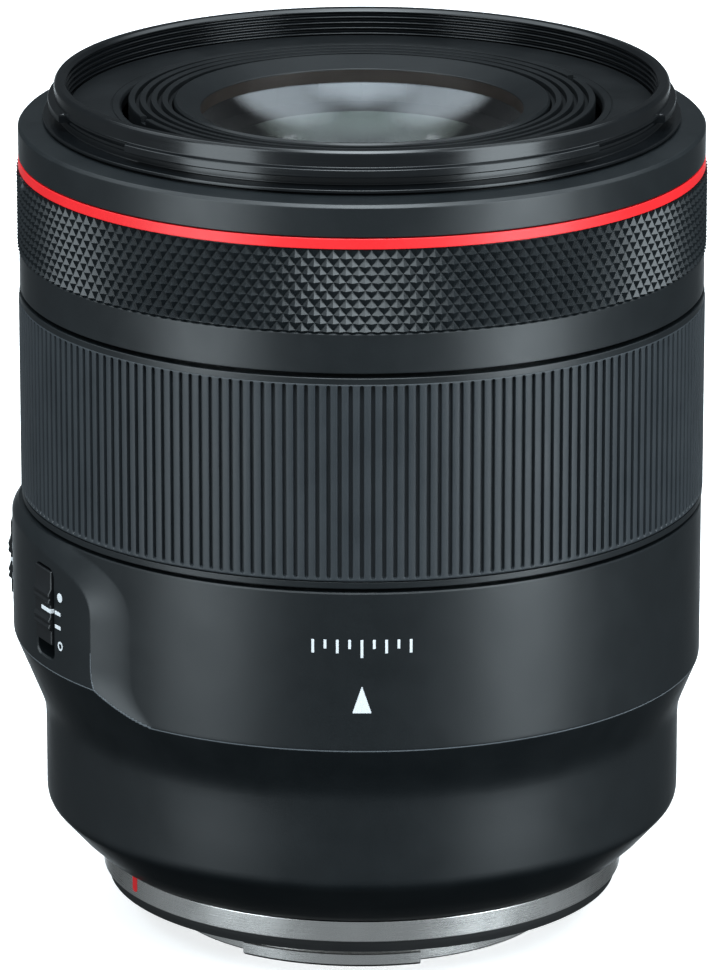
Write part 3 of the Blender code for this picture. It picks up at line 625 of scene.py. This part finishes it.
def make_front_end():
    """The threaded rim with its hood lug, the front plate, the shoulder ring, the baffle and the cone."""
    turns = set(np.round(evenly(SMOOTH_COLUMNS), 4))
    for middle in (60.0, 180.0, 300.0):
        for side in (-LUG_GAP_HALF, LUG_GAP_HALF):
            turns |= {round(middle + side + d, 4) for d in (-0.12, 0.12)}
    crest, root, pitch = 38.5, 38.93, 0.75
    profile = [
        (39.85, RIM_TOP, 0.1), (RIM_R, 107.05, 0.2),
        (RIM_R, 105.4, 0.1), (LUG_R, 105.22, 0.16), (LUG_R, 104.2, 0.16), (LUG_NECK_R, 104.0, 0.1),
        (LUG_NECK_R, 103.0, 0.1), (41.7, 102.82, 0.12), (41.7, 102.4, 0.1), (40.5, 102.4),
        (40.5, 98.0), (36.6, 98.0), (36.6, 102.0), (crest, 102.0),
    ]
    h = 102.6
    while h < 106.5:
        profile += [
            (crest, h, 0.05), (root, h + 0.32 * pitch, 0.06),
            (root, h + 0.5 * pitch, 0.06), (crest, h + 0.82 * pitch, 0.05),
        ]
        h += pitch
    profile += [(crest, 107.1, 0.1), (38.95, RIM_TOP, 0.12)]
    lathe(
        "filter_ring_threaded", profile, MATERIALS["rim_black"], "lens_body", ["filter_ring"],
        turns=sorted(turns), shape=lug_gaps,
    )

    plate = [
        (31.4, 103.5, 0.1), (31.7, 103.9, 0.15),
        (32.55, 103.9, 0.03), (32.62, 103.8, 0.02), (32.72, 103.8, 0.02), (32.79, 103.9, 0.03),
        (38.2, 103.9, 0.1), (38.2, 102.3), (31.4, 102.3),
    ]
    lathe("front_plate_ring", plate, MATERIALS["baffle_black"], "lens_body", ["front_plate"])

    barrel = [
        (40.9, 102.1), (41.9, 102.1, 0.15), (44.60, 101.74, 0.08), (BODY_R, 101.32, 0.08),
        (BODY_R, 97.6, 0.1), (42.5, 97.6), (42.5, 95.92), (40.9, 95.92),
    ]
    lathe("front_barrel_shell", barrel, MATERIALS["satin_black"], "lens_body", ["front_barrel"])

    red = [(42.8, 97.42), (44.98, 97.42, 0.12), (45.0, 96.05, 0.12), (42.8, 96.05)]
    lathe("red_line_ring", red, MATERIALS["red_accent"], "lens_body", ["red_ring"])

    ridges = [(24.7, 101.5), (30.5, 101.5), (30.5, 104.55, 0.06)]
    count, outer_r, inner_r = 4, 30.5, 24.75
    width = (outer_r - inner_r) / count
    for i in range(count):
        r = outer_r - i * width
        crest_h = 104.72 - 0.03 * i
        ridges += [
            (r - 0.10, crest_h, 0.08), (r - 0.86, crest_h - 0.10, 0.06),
            (r - 0.96, crest_h - 0.80, 0.05), (r - width + 0.04, crest_h - 0.80, 0.05),
        ]
    ring = lathe("ridged_baffle_ring", ridges, MATERIALS["baffle_black"], "front_group", ["ridged_baffle"])
    for middle in SPANNER_NOTCHES:
        builder = bmesh.new()
        sector(builder, box_section(29.3, 30.9, 103.9, 105.2), middle - 1.6, middle + 1.6, 0.8)
        cut_away(ring, finished(builder, "spanner_notch"))
    ring.data.set_sharp_from_angle(angle=math.radians(SHARP_ANGLE))

    retainer = [
        (21.1, 103.3, 0.12), (24.3, 104.62, 0.10), (24.6, 104.3, 0.05),
        (24.6, 101.5), (21.1, 101.5, 0.08),
    ]
    cone = lathe(
        "front_retaining_cone", retainer, cone_black, "front_group", ["front_retaining_ring"],
    )
    second_finish(cone, bronze_black, lambda r, h: (r < 21.16) & (h < 103.2))


def surface(vertex, edge_r, curvature, front, steps=14):
    """(radius, height) points of a lens surface, from its edge to the axis."""
    side = 1.0 if front else -1.0
    points = []
    for i in range(steps + 1):
        r = edge_r * (1.0 - i / steps)
        fall = abs(curvature) - math.sqrt(curvature * curvature - r * r)
        fall = -fall if curvature < 0 else fall
        points.append((r, vertex - side * fall))
    return points


def make_glass():
    """The elements that can be seen from either end, and the ring between the front two."""
    # Front vertex, rear vertex, edge radius, front and rear curvature, body, finish
    groups = {
        "glass_group_1": (94.2, 93.7, 21.3, -34.0, 33.5, "front_group", front_coating),
        "glass_group_2": (91.7, 84.5, 17.3, -26.0, -80.0, "front_group", inner_coating_and_shade),
        "glass_group_3": (83.5, 76.5, 22.0, 55.0, -100.0, "front_group", MATERIALS["coated_glass"]),
        "glass_group_9": (1.8, -2.7, 19.1, -90.0, 70.0, "lens_body", rear_coating),
    }
    for node, (front_h, rear_h, edge, front_r, rear_r, body, material) in groups.items():
        front = surface(front_h, edge, front_r, True)
        rear = surface(rear_h, edge, rear_r, False)
        name = node.replace("group", "element")
        dome(name, front[::-1] + rear, material, body, [node])
    spacer = [
        (17.35, 84.6), (17.35, 98.25, 0.05), (17.7, 98.35, 0.06), (21.0, 98.8, 0.1), (21.0, 84.6, 0.1),
    ]
    lathe("front_spacer_ring", spacer, MATERIALS["baffle_black"], "front_group")


# ---------------------------------------------------------------------------------------------------
# Rings that turn


def make_control_ring():
    """A pyramid knurl over a plain skirt, closed round the bore as one mesh."""
    columns = 2 * KNURL_COUNT
    turns = evenly(columns) + 90.0 / KNURL_COUNT
    skirt = [
        (BODY_R, 84.95, 0.10), (BODY_R, 79.86, 0.14), (42.3, 79.86), (42.3, 95.86), (44.5, 95.86, 0.05),
    ]
    outline = rounded([(44.6, 85.2, 0.05)] + skirt + [(44.72, 95.98, 0.04)], 0.15)
    top = KNURL_LOW + KNURL_ROW * KNURL_ROWS
    del outline[0]
    knurl = [(KNURL_R, top - KNURL_ROW * k) for k in range(KNURL_ROWS + 1)]
    points = outline + knurl
    radii = np.tile(np.array([p[0] for p in points]), (columns, 1))
    heights = np.array([p[1] for p in points])
    parity = (np.arange(columns)[:, None] + np.arange(len(knurl))[None, :]) % 2
    radii[:, len(outline):] -= KNURL_DEPTH * parity
    rows = len(points)
    quads = grid_faces(columns, rows, True)
    xyz = around(radii, heights, turns)
    triangles = []
    for a, b, c, d in quads:
        column, row = divmod(int(a), rows)
        split = row >= len(outline) and parity[column, row - len(outline)] == 1
        triangles += [(a, b, c), (a, c, d)] if split else [(a, b, d), (b, c, d)]
    mesh = mesh_from("control_ring_knurled", xyz, np.array(triangles))
    finish = MATERIALS["knurl_black"]
    ring = add("control_ring_knurled", mesh, finish, "control_ring", ["control_ring"], angle=18.0)
    second_finish(ring, MATERIALS["satin_black"], lambda r, h: h < 85.1)


def make_focus_ring():
    """The ring's plain lips, and a rubber grip whose grooves have rounded ends."""
    core = [
        (42.3, 79.27), (45.05, 79.27, 0.14), (45.05, 78.45, 0.05), (43.4, 78.45),
        (43.4, 52.36), (45.05, 52.36, 0.05), (45.05, 51.5, 0.14), (42.3, 51.5),
    ]
    lathe("focus_ring_lips", core, MATERIALS["satin_black"], "focus_ring", ["focus_ring"])

    # Across a rib: offsets from the middle of the groove, in millimetres.
    pitch = 2 * math.pi * RIB_R / RIB_COUNT
    near = [0.0, 0.10, 0.17, 0.21, 0.235, 0.26, 0.30, 0.36, 0.50, pitch / 2]
    across = np.array([-x for x in near[1:-1]][::-1] + near)
    turns = (np.arange(RIB_COUNT)[:, None] * 360.0 / RIB_COUNT + np.degrees(across / RIB_R)[None, :]).ravel()
    ends = [0.0, 0.12, 0.26, 0.36, 0.42, 0.50, 0.60, 0.75, 1.2]
    heights = [RIB_LOW + e for e in ends] + [RIB_TOP - e for e in ends[::-1]]
    heights = np.array(heights)
    x = np.tile(across, RIB_COUNT)[:, None]
    start = RIB_LOW + 0.34 + RIB_HALF_GROOVE
    stop = RIB_TOP - 0.20 - RIB_HALF_GROOVE
    beyond = np.maximum(0.0, np.maximum(start - heights, heights - stop))[None, :]
    away = np.hypot(x, beyond)
    fall = np.clip((RIB_HALF_GROOVE + 0.03 - away) / 0.075, 0.0, 1.0)
    fall = fall * fall * (3 - 2 * fall)
    crown = 0.03 * np.clip((away - 0.30) / 0.25, 0.0, 1.0)
    radii = RIB_R - 0.03 + crown - RIB_DEPTH * fall
    radii[:, 0] = radii[:, -1] = RIB_R - 0.10
    bore = np.full((len(turns), 2), 43.65)
    radii = np.concatenate([radii, bore], 1)
    levels = np.concatenate([heights, [RIB_TOP, RIB_LOW]])
    faces = grid_faces(len(turns), len(levels), True)
    mesh = mesh_from("focus_grip_ribbed", around(radii, levels, turns), faces)
    add("focus_grip_ribbed", mesh, MATERIALS["grip_rubber"], "focus_ring", ["focus_grip"], angle=50.0)


# ---------------------------------------------------------------------------------------------------
# Rear barrel


def panel_half(heights):
    """Half the angle that the flat of the panel spans, wider towards its rounded low corner."""
    return PANEL_HALF + PANEL_FLARE * np.maximum(PANEL_FLARE_TOP - heights, 0.0) ** 2


def panel_share(turns, heights):
    """How far a point of the rear barrel stands on the raised switch panel, from 0 to 1."""
    across = (np.abs(turns - PANEL_MIDDLE) / panel_half(heights)) ** 3
    above = (np.maximum(heights - PANEL_SHOULDER, 0.0) / PANEL_DOME) ** 3
    total = np.maximum(across + above, 1e-9)
    lean = above / total
    reach = PANEL_RAMP_SIDE + (PANEL_RAMP_TOP - PANEL_RAMP_SIDE) * lean
    t = np.clip((total ** (1.0 / 3.0) - 1.0) / reach, 0.0, 1.0)
    return (1.0 - lean) * (1.0 - t) ** 1.7 + lean * (1.0 - t ** 1.6)


def rear_turns():
    """Columns close together at the panel's right and left edges, spread out evenly further off."""
    turns = [-120.0]
    while turns[-1] < 240.0:
        here = turns[-1]
        right = max(FINE_RIGHT[0] - here, here - FINE_RIGHT[1], 0.0)
        left = max(FINE_LEFT[0] - here, here - FINE_LEFT[1], 0.0)
        step = min(0.14 + 0.05 * right, 0.25 + 0.05 * left, 0.9)
        turns.append(here + step)
    return (np.array(turns) - (turns[-1] - 240.0) * np.linspace(0.0, 1.0, len(turns)))[:-1]


def highlight_barrel_edges(shell):
    """Gives the thin band along the barrel's lower edge and the panel's crease a lighter grey: a painted
    highlight line.
    """
    shell.data.materials.append(edge_highlight_paint)
    for face in shell.data.polygons:
        x, y, z = face.center / MM
        h, radius = z - FLANGE_Z, math.hypot(x, y)
        degrees = math.degrees(math.atan2(x, -y))
        if radius < WAIST_R + 1.0 or h > PANEL_SHOULDER + PANEL_DOME:
            continue
        offset = degrees if degrees < 100.0 else degrees - 360.0
        body = BODY_R + PANEL_RISE * float(panel_share(np.array(offset), np.array(h)))
        above = BODY_R + TAPER_SLOPE * (h - TAPER_EDGE) - body
        on_ramp = 0.02 < body - BODY_R < PANEL_RISE - 0.02
        on_edge = abs(above) < (0.075 if on_ramp else 0.045)
        crease = PANEL_MIDDLE + panel_half(h)
        on_crease = abs(offset - crease) < 0.09 and above > 0.0 and h < PANEL_SHOULDER - 4.0
        if on_edge or on_crease:
            face.material_index = 1


def make_rear_barrel():
    """The body with its switch panel, the taper, the waist and the foot, as one shell with two slots."""
    turns = rear_turns()
    steps = ((50.75, 42.0, 0.2), (42.0, 34.6, 0.55), (34.6, 28.6, 0.16), (28.6, 21.6, 0.4))
    side_rows = np.concatenate([np.arange(start, stop, -step) for start, stop, step in steps])
    t_grid, h_grid = turns[:, None], side_rows[None, :]
    body = BODY_R + PANEL_RISE * panel_share(t_grid, h_grid)
    taper = BODY_R + TAPER_SLOPE * (h_grid - TAPER_EDGE)
    edge_ease, waist_ease = 0.04, 0.30
    low = -edge_ease * np.logaddexp(-body / edge_ease, -taper / edge_ease)
    outer = waist_ease * np.logaddexp(low / waist_ease, WAIST_R / waist_ease)
    top = [(42.2, 51.0), (44.60, 51.0), (44.80, 50.95)]
    foot = [(WAIST_R, 20.4), (WAIST_R, 16.0), (WAIST_R, 11.3), (42.16, 10.7), (42.08, 10.25), (41.90, 9.80)]
    foot += [(41.55, 9.35), (38.61, 6.08), (36.44, 4.06), (35.2, 3.15), (35.0, 3.1), (28.5, 3.1), (28.5, 5.0)]
    foot += [(34.5, 5.0), (40.3, 11.0), (40.3, 21.5), (43.0, 29.0), (43.0, 49.0), (42.2, 49.0)]
    first = np.tile(np.array([p[0] for p in top]), (len(turns), 1))
    first[:, 2] = outer[:, 0] - 0.12
    first[:, 1] = outer[:, 0] - 0.35
    last = np.tile(np.array([p[0] for p in foot]), (len(turns), 1))
    radii = np.concatenate([first, outer, last], 1)
    heights = np.concatenate([[p[1] for p in top], side_rows, [p[1] for p in foot]])
    faces = grid_faces(len(turns), len(heights), True)[:, ::-1]
    mesh = mesh_from("rear_barrel_shell", around(radii, heights, turns), faces)
    obj = bpy.data.objects.new("rear_barrel_shell", mesh)
    bpy.context.scene.collection.objects.link(obj)
    half = SLOT_WIDTH / 2
    wide = 0.32
    for degrees in SWITCHES.values():
        inner = rounded_rectangle(-half, half, SLOT_LOW, SLOT_TOP, 1.1)
        flare = rounded_rectangle(-half - wide, half + wide, SLOT_LOW - wide, SLOT_TOP + wide, 1.1 + wide)
        cutter = outline_mesh("slot", [(inner, 41.0), (inner, 46.12), (flare, 46.6), (flare, 48.0)])
        cutter.transform(facing(degrees) @ Matrix.Translation((0.0, 0.0, FLANGE_Z * MM)))
        cut_away(obj, cutter)
    mesh = obj.data
    mesh.name = "rear_barrel_shell"
    bpy.data.objects.remove(obj)
    shell = add("rear_barrel_shell", mesh, MATERIALS["satin_black"], "lens_body", ["rear_barrel"], angle=28.0)
    # Painted highlight line along the lower edge and the panel's crease.
    highlight_barrel_edges(shell)


def make_switch(node, degrees):
    """A sliding knob: a flat plate with two toothed bars, and a white pointer that turns over its edge."""
    stem = SLOT_WIDTH / 2 - 0.3
    low = SLOT_LOW + SWITCH_TRAVEL + 0.1
    top = SLOT_TOP - 0.2
    middle, plate, crown, ease = 41.55, 46.60, 46.97, 0.12
    levels = [(low, 42.0), (low, plate - ease), (low + ease, plate), (middle - 2.75, plate)]
    levels += [(middle - 2.45, crown - 0.03), (middle - 2.2, crown), (middle - 1.85, plate + 0.2)]
    levels += [(middle - 1.55, crown - 0.03), (middle - 1.3, crown), (middle - 0.80, plate + 0.08)]
    levels += [(middle + 0.80, plate + 0.08), (middle + 1.05, crown - 0.03), (middle + 1.35, crown)]
    levels += [(middle + 1.65, plate + 0.2), (middle + 1.95, crown - 0.03), (middle + 2.25, crown)]
    levels += [(middle + 3.0, plate), (top - ease, plate), (top, plate - ease), (top, 42.0)]
    builder = bmesh.new()
    widths = [-stem, -stem + ease, -0.9, 0.0, 0.9, stem - ease, stem]
    rows = []
    for x in widths:
        drop = ease if abs(x) > stem - ease / 2 else 0.0
        row = []
        for h, level in levels:
            y = level if level <= 42.01 else level - drop
            row.append(builder.verts.new((x * MM, y * MM, up(h))))
        rows.append(row)
    for one, two in zip(rows, rows[1:]):
        for k in range(len(levels)):
            following = (k + 1) % len(levels)
            builder.faces.new((one[k], one[following], two[following], two[k]))
    builder.faces.new(rows[0][::-1])
    builder.faces.new(rows[-1])
    mesh = finished(builder, node + "_knob")
    mesh.transform(facing(degrees))
    add(node + "_knob", mesh, MATERIALS["switch_plastic"], node, [node], angle=30.0)

    face = plate + 0.12
    bend = [(0.15 * stem, face), (0.15 * stem, face - 0.15), (0.1 - stem, face - 0.15), (0.1 - stem, 45.4)]
    bend += [(-0.04 - stem, 45.4), (-0.04 - stem, face - 0.05), (0.02 - stem, face)]
    builder = bmesh.new()
    ends = []
    for h in (middle - 0.28, middle + 0.28):
        ends.append([builder.verts.new((x * MM, y * MM, up(h))) for x, y in bend])
    for k in range(len(bend)):
        following = (k + 1) % len(bend)
        builder.faces.new((ends[0][k], ends[0][following], ends[1][following], ends[1][k]))
    builder.faces.new(ends[0][::-1])
    builder.faces.new(ends[1])
    bmesh.ops.recalc_face_normals(builder, faces=builder.faces)
    bmesh.ops.bevel(builder, geom=builder.edges[:], offset=0.04 * MM, segments=1, affect="EDGES")
    line = finished(builder, node + "_pointer")
    line.transform(facing(degrees))
    add(node + "_pointer", line, white_paint, node)


def printed_ring(builder, radius, degrees, h, outer, inner=0.0, steps=24):
    """A printed spot or ring, as a thin slab that follows the barrel."""
    levels = (radius - 0.12, radius + 0.02)
    shells = []
    for size in (max(inner, 0.02), outer):
        for level in levels:
            loop = []
            for k in range(steps):
                turn = 2.0 * math.pi * k / steps
                at = math.radians(degrees) + size * math.cos(turn) / radius
                place = (level * MM * math.sin(at), -level * MM * math.cos(at), up(h + size * math.sin(turn)))
                loop.append(builder.verts.new(place))
            shells.append(loop)
    order = (shells[0], shells[1], shells[3], shells[2])
    for one, two in zip(order, order[1:] + order[:1]):
        for k in range(steps):
            after = (k + 1) % steps
            builder.faces.new((one[k], one[after], two[after], two[k]))


def make_marks():
    """Printed marks: a plain graduated scale and index on the barrel, ticks and spots by each switch."""
    print_low, print_top = BODY_R - 0.15, BODY_R + 0.02
    builder = bmesh.new()
    for k in range(-4, 5):
        low = 42.3 if k == 0 else (42.9 if k % 2 == 0 else 43.5)
        line = box_section(print_low, print_top, low, SCALE_TOP, 0.02)
        middle = k * SCALE_STEP
        sector(builder, line, middle - SCALE_LINE_HALF, middle + SCALE_LINE_HALF, SCALE_LINE_HALF / 2)
    add("scale_mark", finished(builder, "scale_mark"), white_paint, "lens_body")
    builder = bmesh.new()
    rows = 14
    for k in range(rows):
        low = INDEX_LOW + k * INDEX_ROW
        half = INDEX_HALF * (1.0 - k / rows)
        sector(builder, box_section(print_low, print_top, low, low + INDEX_ROW), -half, half, 0.25)
    add("index_mark", finished(builder, "index_mark"), white_paint, "lens_body")
    builder = bmesh.new()
    panel = BODY_R + PANEL_RISE
    for degrees in SWITCHES.values():
        for h in (41.6, 39.72):
            section = box_section(panel - 0.15, panel + 0.03, h - 0.25, h + 0.25, 0.02)
            sector(builder, section, degrees + 3.7, degrees + 5.5, 0.2)
        printed_ring(builder, panel, degrees + 5.3, 43.9, 0.62)
        printed_ring(builder, panel, degrees + 5.3, 37.3, 0.62, 0.36)
    add("switch_ticks", finished(builder, "switch_ticks"), white_paint, "lens_body")


# ---------------------------------------------------------------------------------------------------
# Bayonet


def make_bayonet():
    """The mount ring with its sunk screws, three tabs, the rubber seal and the red index."""
    profile = [
        (24.5, 2.8), (MOUNT_R, 2.8, 0.08), (MOUNT_R, 0.0, 0.12),
        (34.3, 0.0, 0.06), (34.3, 1.2), (32.9, 1.2), (32.9, 0.0, 0.08),
        (28.7, 0.0, 0.08), (28.4, 0.4, 0.08), (26.2, 0.4, 0.15),
        (26.2, -6.0, 0.2), (25.9, -6.0, 0.1), (25.3, -6.0, 0.1), (24.5, -5.4, 0.2),
    ]
    steel = MATERIALS["mount_steel"]
    ring = lathe("bayonet_mount_ring", profile, steel, "lens_body", ["bayonet_mount"], fillet=0.1)
    for index, degrees in enumerate(SCREW_TURNS):
        turn = math.radians(degrees)
        reach = SCREW_CIRCLE * MM
        place = Matrix.Translation((reach * math.sin(turn), -reach * math.cos(turn), up(0.0)))
        cut_away(ring, finished(turned_cone(1.95, 1.45, 1.6, 0.3, place, 40), "sink"))
        make_screw("mount_screw_%d" % (index + 1), place)
    ring.data.set_sharp_from_angle(angle=math.radians(SHARP_ANGLE))

    builder = bmesh.new()
    section = [(25.4, -5.98), (27.6, -5.98), (28.0, -5.6), (28.0, -4.25), (27.85, -4.1), (25.4, -4.1)]
    for middle in TAB_TURNS:
        sector(builder, section, middle - TAB_HALF, middle + TAB_HALF, 0.5)
    mesh = finished(builder, "bayonet_tabs")
    add("bayonet_tabs", mesh, MATERIALS["mount_steel"], "lens_body", angle=24.0)

    seal = [(33.1, 0.95, 0.1), (34.15, 0.95, 0.1), (34.15, -0.6, 0.3), (33.92, -1.62, 0.1), (33.1, -1.3, 0.1)]
    lathe("mount_seal_lip", seal, MATERIALS["seal_rubber"], "lens_body", ["mount_seal"])

    builder = bmesh.new()
    rows, row = 6, 0.08
    inner_r, outer_r = MOUNT_R - 0.2, MOUNT_R + 0.03
    for k in range(rows):
        low = MARK_LOW + row * k
        half = math.sqrt(1.0 - (1.0 - (k + 0.5) / rows) ** 2)
        part = box_section(inner_r, outer_r, low, low + row)
        sector(builder, part, MARK_MIDDLE - half, MARK_MIDDLE + half, 0.2)
    section = box_section(inner_r, outer_r, MARK_LOW + row * rows, MARK_TOP)
    sector(builder, section, MARK_MIDDLE - 1.0, MARK_MIDDLE + 1.0, 0.2)
    add("mount_index_mark", finished(builder, "mount_index_mark"), red_paint, "lens_body")


def make_screw(node, place):
    """A cross-head screw seen from behind the mount."""
    builder = turned_cone(1.42, 1.0, 0.8, 0.62, place, 40)
    turned_cone(0.78, 0.78, 3.6, 2.7, place, 24, builder)
    mesh = finished(builder, node + "_head")
    obj = bpy.data.objects.new(node + "_head", mesh)
    bpy.context.scene.collection.objects.link(obj)
    for turn in (0.0, math.pi / 2):
        cross = bmesh.new()
        slot_size = Matrix.Diagonal((1.9 * MM, 0.34 * MM, 1.0 * MM, 1.0))
        turned = place @ Matrix.Rotation(turn, 4, "Z")
        matrix = turned @ Matrix.Translation((0, 0, 0.2 * MM)) @ slot_size
        bmesh.ops.create_cube(cross, size=1.0, matrix=matrix)
        cut_away(obj, finished(cross, "cross"))
    mesh = obj.data
    bpy.data.objects.remove(obj)
    add(node + "_head", mesh, MATERIALS["spring_steel"], "lens_body", [node])


# ---------------------------------------------------------------------------------------------------
# Stage


def make_floor():
    mesh = bpy.data.meshes.new("floor")
    size = 6.0
    corners = [(-size, -size, 0), (size, -size, 0), (size, size, 0), (-size, size, 0)]
    mesh.from_pydata(corners, [], [(0, 1, 2, 3)])
    floor = bpy.data.objects.new("floor", mesh)
    bpy.context.scene.collection.objects.link(floor)
    glow = {"Roughness": 0.9, "Emission Color": (1.0, 1.0, 1.0, 1.0), "Emission Strength": 0.62}
    material, tree, shader = new_material("pale_floor", glow)
    tone = noise(tree, object_point(tree), 40.0, 2.0)
    colour = blend_colour(tree, tone, (0.86, 0.86, 0.86), (0.88, 0.88, 0.88))
    tree.links.new(colour, shader.inputs["Base Color"])
    mesh.materials.append(material)
    floor.visible_glossy = False
    floor.visible_diffuse = False
    floor.visible_transmission = False
    floor.visible_shadow = False


def ramp_node(tree, value, stops):
    """A smooth curve through (position, level) stops, as a colour ramp."""
    node = tree.nodes.new("ShaderNodeValToRGB")
    ramp = node.color_ramp
    ramp.interpolation = "EASE"
    while len(ramp.elements) < len(stops):
        ramp.elements.new(1.0)
    for element, (position, level) in zip(ramp.elements, stops):
        element.position = position
        element.color = (level, level, level, 1.0)
    tree.links.new(value, node.inputs["Fac"])
    return node.outputs["Color"]


def soft_patch(tree, direction, azimuth, elevation, inner, outer):
    """A round patch of light in the sky, full inside one angle and gone outside another."""
    turn, lift = math.radians(azimuth), math.radians(elevation)
    node = tree.nodes.new("ShaderNodeVectorMath")
    node.operation = "DOT_PRODUCT"
    node.inputs[1].default_value = (
        math.sin(turn) * math.cos(lift), -math.cos(turn) * math.cos(lift), math.sin(lift),
    )
    tree.links.new(direction, node.inputs[0])
    edge = tree.nodes.new("ShaderNodeMapRange")
    edge.interpolation_type = "SMOOTHSTEP"
    edge.inputs["From Min"].default_value = math.cos(math.radians(outer))
    edge.inputs["From Max"].default_value = math.cos(math.radians(inner))
    tree.links.new(node.outputs["Value"], edge.inputs["Value"])
    return edge.outputs["Result"]


def make_sky():
    """A soft studio: an even fill, a bright sweep low behind, and round patches of light overhead."""
    world = bpy.data.worlds.new("studio")
    bpy.context.scene.world = world
    world.use_nodes = True
    tree = world.node_tree
    background = tree.nodes["Background"]
    direction = tree.nodes.new("ShaderNodeTexCoord").outputs["Generated"]
    split = tree.nodes.new("ShaderNodeSeparateXYZ")
    tree.links.new(direction, split.inputs[0])
    x, y, z = split.outputs
    turn = math_node(tree, "ARCTAN2", x, math_node(tree, "MULTIPLY", y, -1.0))
    turn = math_node(tree, "MULTIPLY", math_node(tree, "ABSOLUTE", turn), 1.0 / math.pi)
    lift = math_node(tree, "MULTIPLY_ADD", math_node(tree, "ARCSINE", z), 1.0 / math.pi, 0.5)

    def by_turn(*stops):
        return ramp_node(tree, turn, [(degrees / 180.0, level) for degrees, level in stops])

    def by_lift(*stops):
        return ramp_node(tree, lift, [(degrees / 180.0 + 0.5, level) for degrees, level in stops])

    def product(a, b):
        return math_node(tree, "MULTIPLY", a, b)

    sweep = product(
        by_turn((0, 0.0), (140, 0.0), (152, 0.03), (161, 0.13), (171, 0.86), (180, 1.0)),
        by_lift((-36, 0.0), (-26, 1.0), (-12, 1.0), (-5, 0.15), (-1, 0.0), (90, 0.0)),
    )
    fill = product(
        by_turn((0, 1.0), (95, 0.9), (140, 0.30), (180, 0.26)),
        by_lift((-90, 0.30), (-60, 0.04), (-38, 0.24), (-20, 0.95), (10, 1.0), (90, 1.0)),
    )
    parts = [product(sweep, SWEEP_LEVEL)]
    for *place, level in SKY_PATCHES:
        parts.append(product(soft_patch(tree, direction, *place), level))
    parts.append(product(fill, FILL_LEVEL))
    total = parts[0]
    for part in parts[1:]:
        total = math_node(tree, "ADD", total, part)
    seen = tree.nodes.new("ShaderNodeLightPath").outputs["Is Camera Ray"]
    mix = tree.nodes.new("ShaderNodeMix")
    mix.data_type = "FLOAT"
    tree.links.new(seen, mix.inputs["Factor"])
    tree.links.new(total, mix.inputs["A"])
    mix.inputs["B"].default_value = 1.0
    tree.links.new(mix.outputs["Result"], background.inputs["Strength"])
    background.inputs["Color"].default_value = LIGHT_TINT


def make_strip(name, azimuth, radiance, width=0.17, low=-0.06, top=0.50, distance=0.35):
    """A tall softbox that stands in front of the lens, to one side."""
    height = top - low
    data = bpy.data.lights.new(name, "AREA")
    data.shape = "RECTANGLE"
    data.size = width
    data.size_y = height
    data.energy = radiance * math.pi * width * height
    data.color = (0.83, 0.94, 1.0)
    lamp = bpy.data.objects.new(name, data)
    bpy.context.scene.collection.objects.link(lamp)
    turn = math.radians(azimuth)
    lamp.location = (distance * math.sin(turn), -distance * math.cos(turn), (low + top) / 2)
    lamp.rotation_euler = (math.pi / 2, 0.0, turn)
    lamp.visible_camera = False


def make_light():
    make_sky()
    make_strip("strip_left", -50.5, 4.4)
    make_strip("strip_right", 51.5, 6.2)


def make_camera():
    tilt = math.radians(VIEW_ELEVATION)
    data = bpy.data.cameras.new("camera")
    data.sensor_width = SENSOR
    data.lens = FOCAL_LENGTH
    data.shift_x = SHIFT_X
    data.clip_start = 0.05
    data.clip_end = 50.0
    camera = bpy.data.objects.new("camera", data)
    bpy.context.scene.collection.objects.link(camera)
    aim = Vector((0.0, 0.0, up(VIEW_AIM_H)))
    camera.location = aim + Vector((0.0, -math.cos(tilt), math.sin(tilt))) * VIEW_DISTANCE * MM
    camera.rotation_euler = (math.pi / 2 - tilt, 0.0, 0.0)
    bpy.context.scene.camera = camera


make_front_end()
make_glass()
make_control_ring()
make_focus_ring()
make_rear_barrel()
for switch, switch_angle in SWITCHES.items():
    make_switch(switch, switch_angle)
make_marks()
make_bayonet()
make_floor()
make_light()
make_camera()
bpy.context.scene.view_settings.view_transform = "Standard"
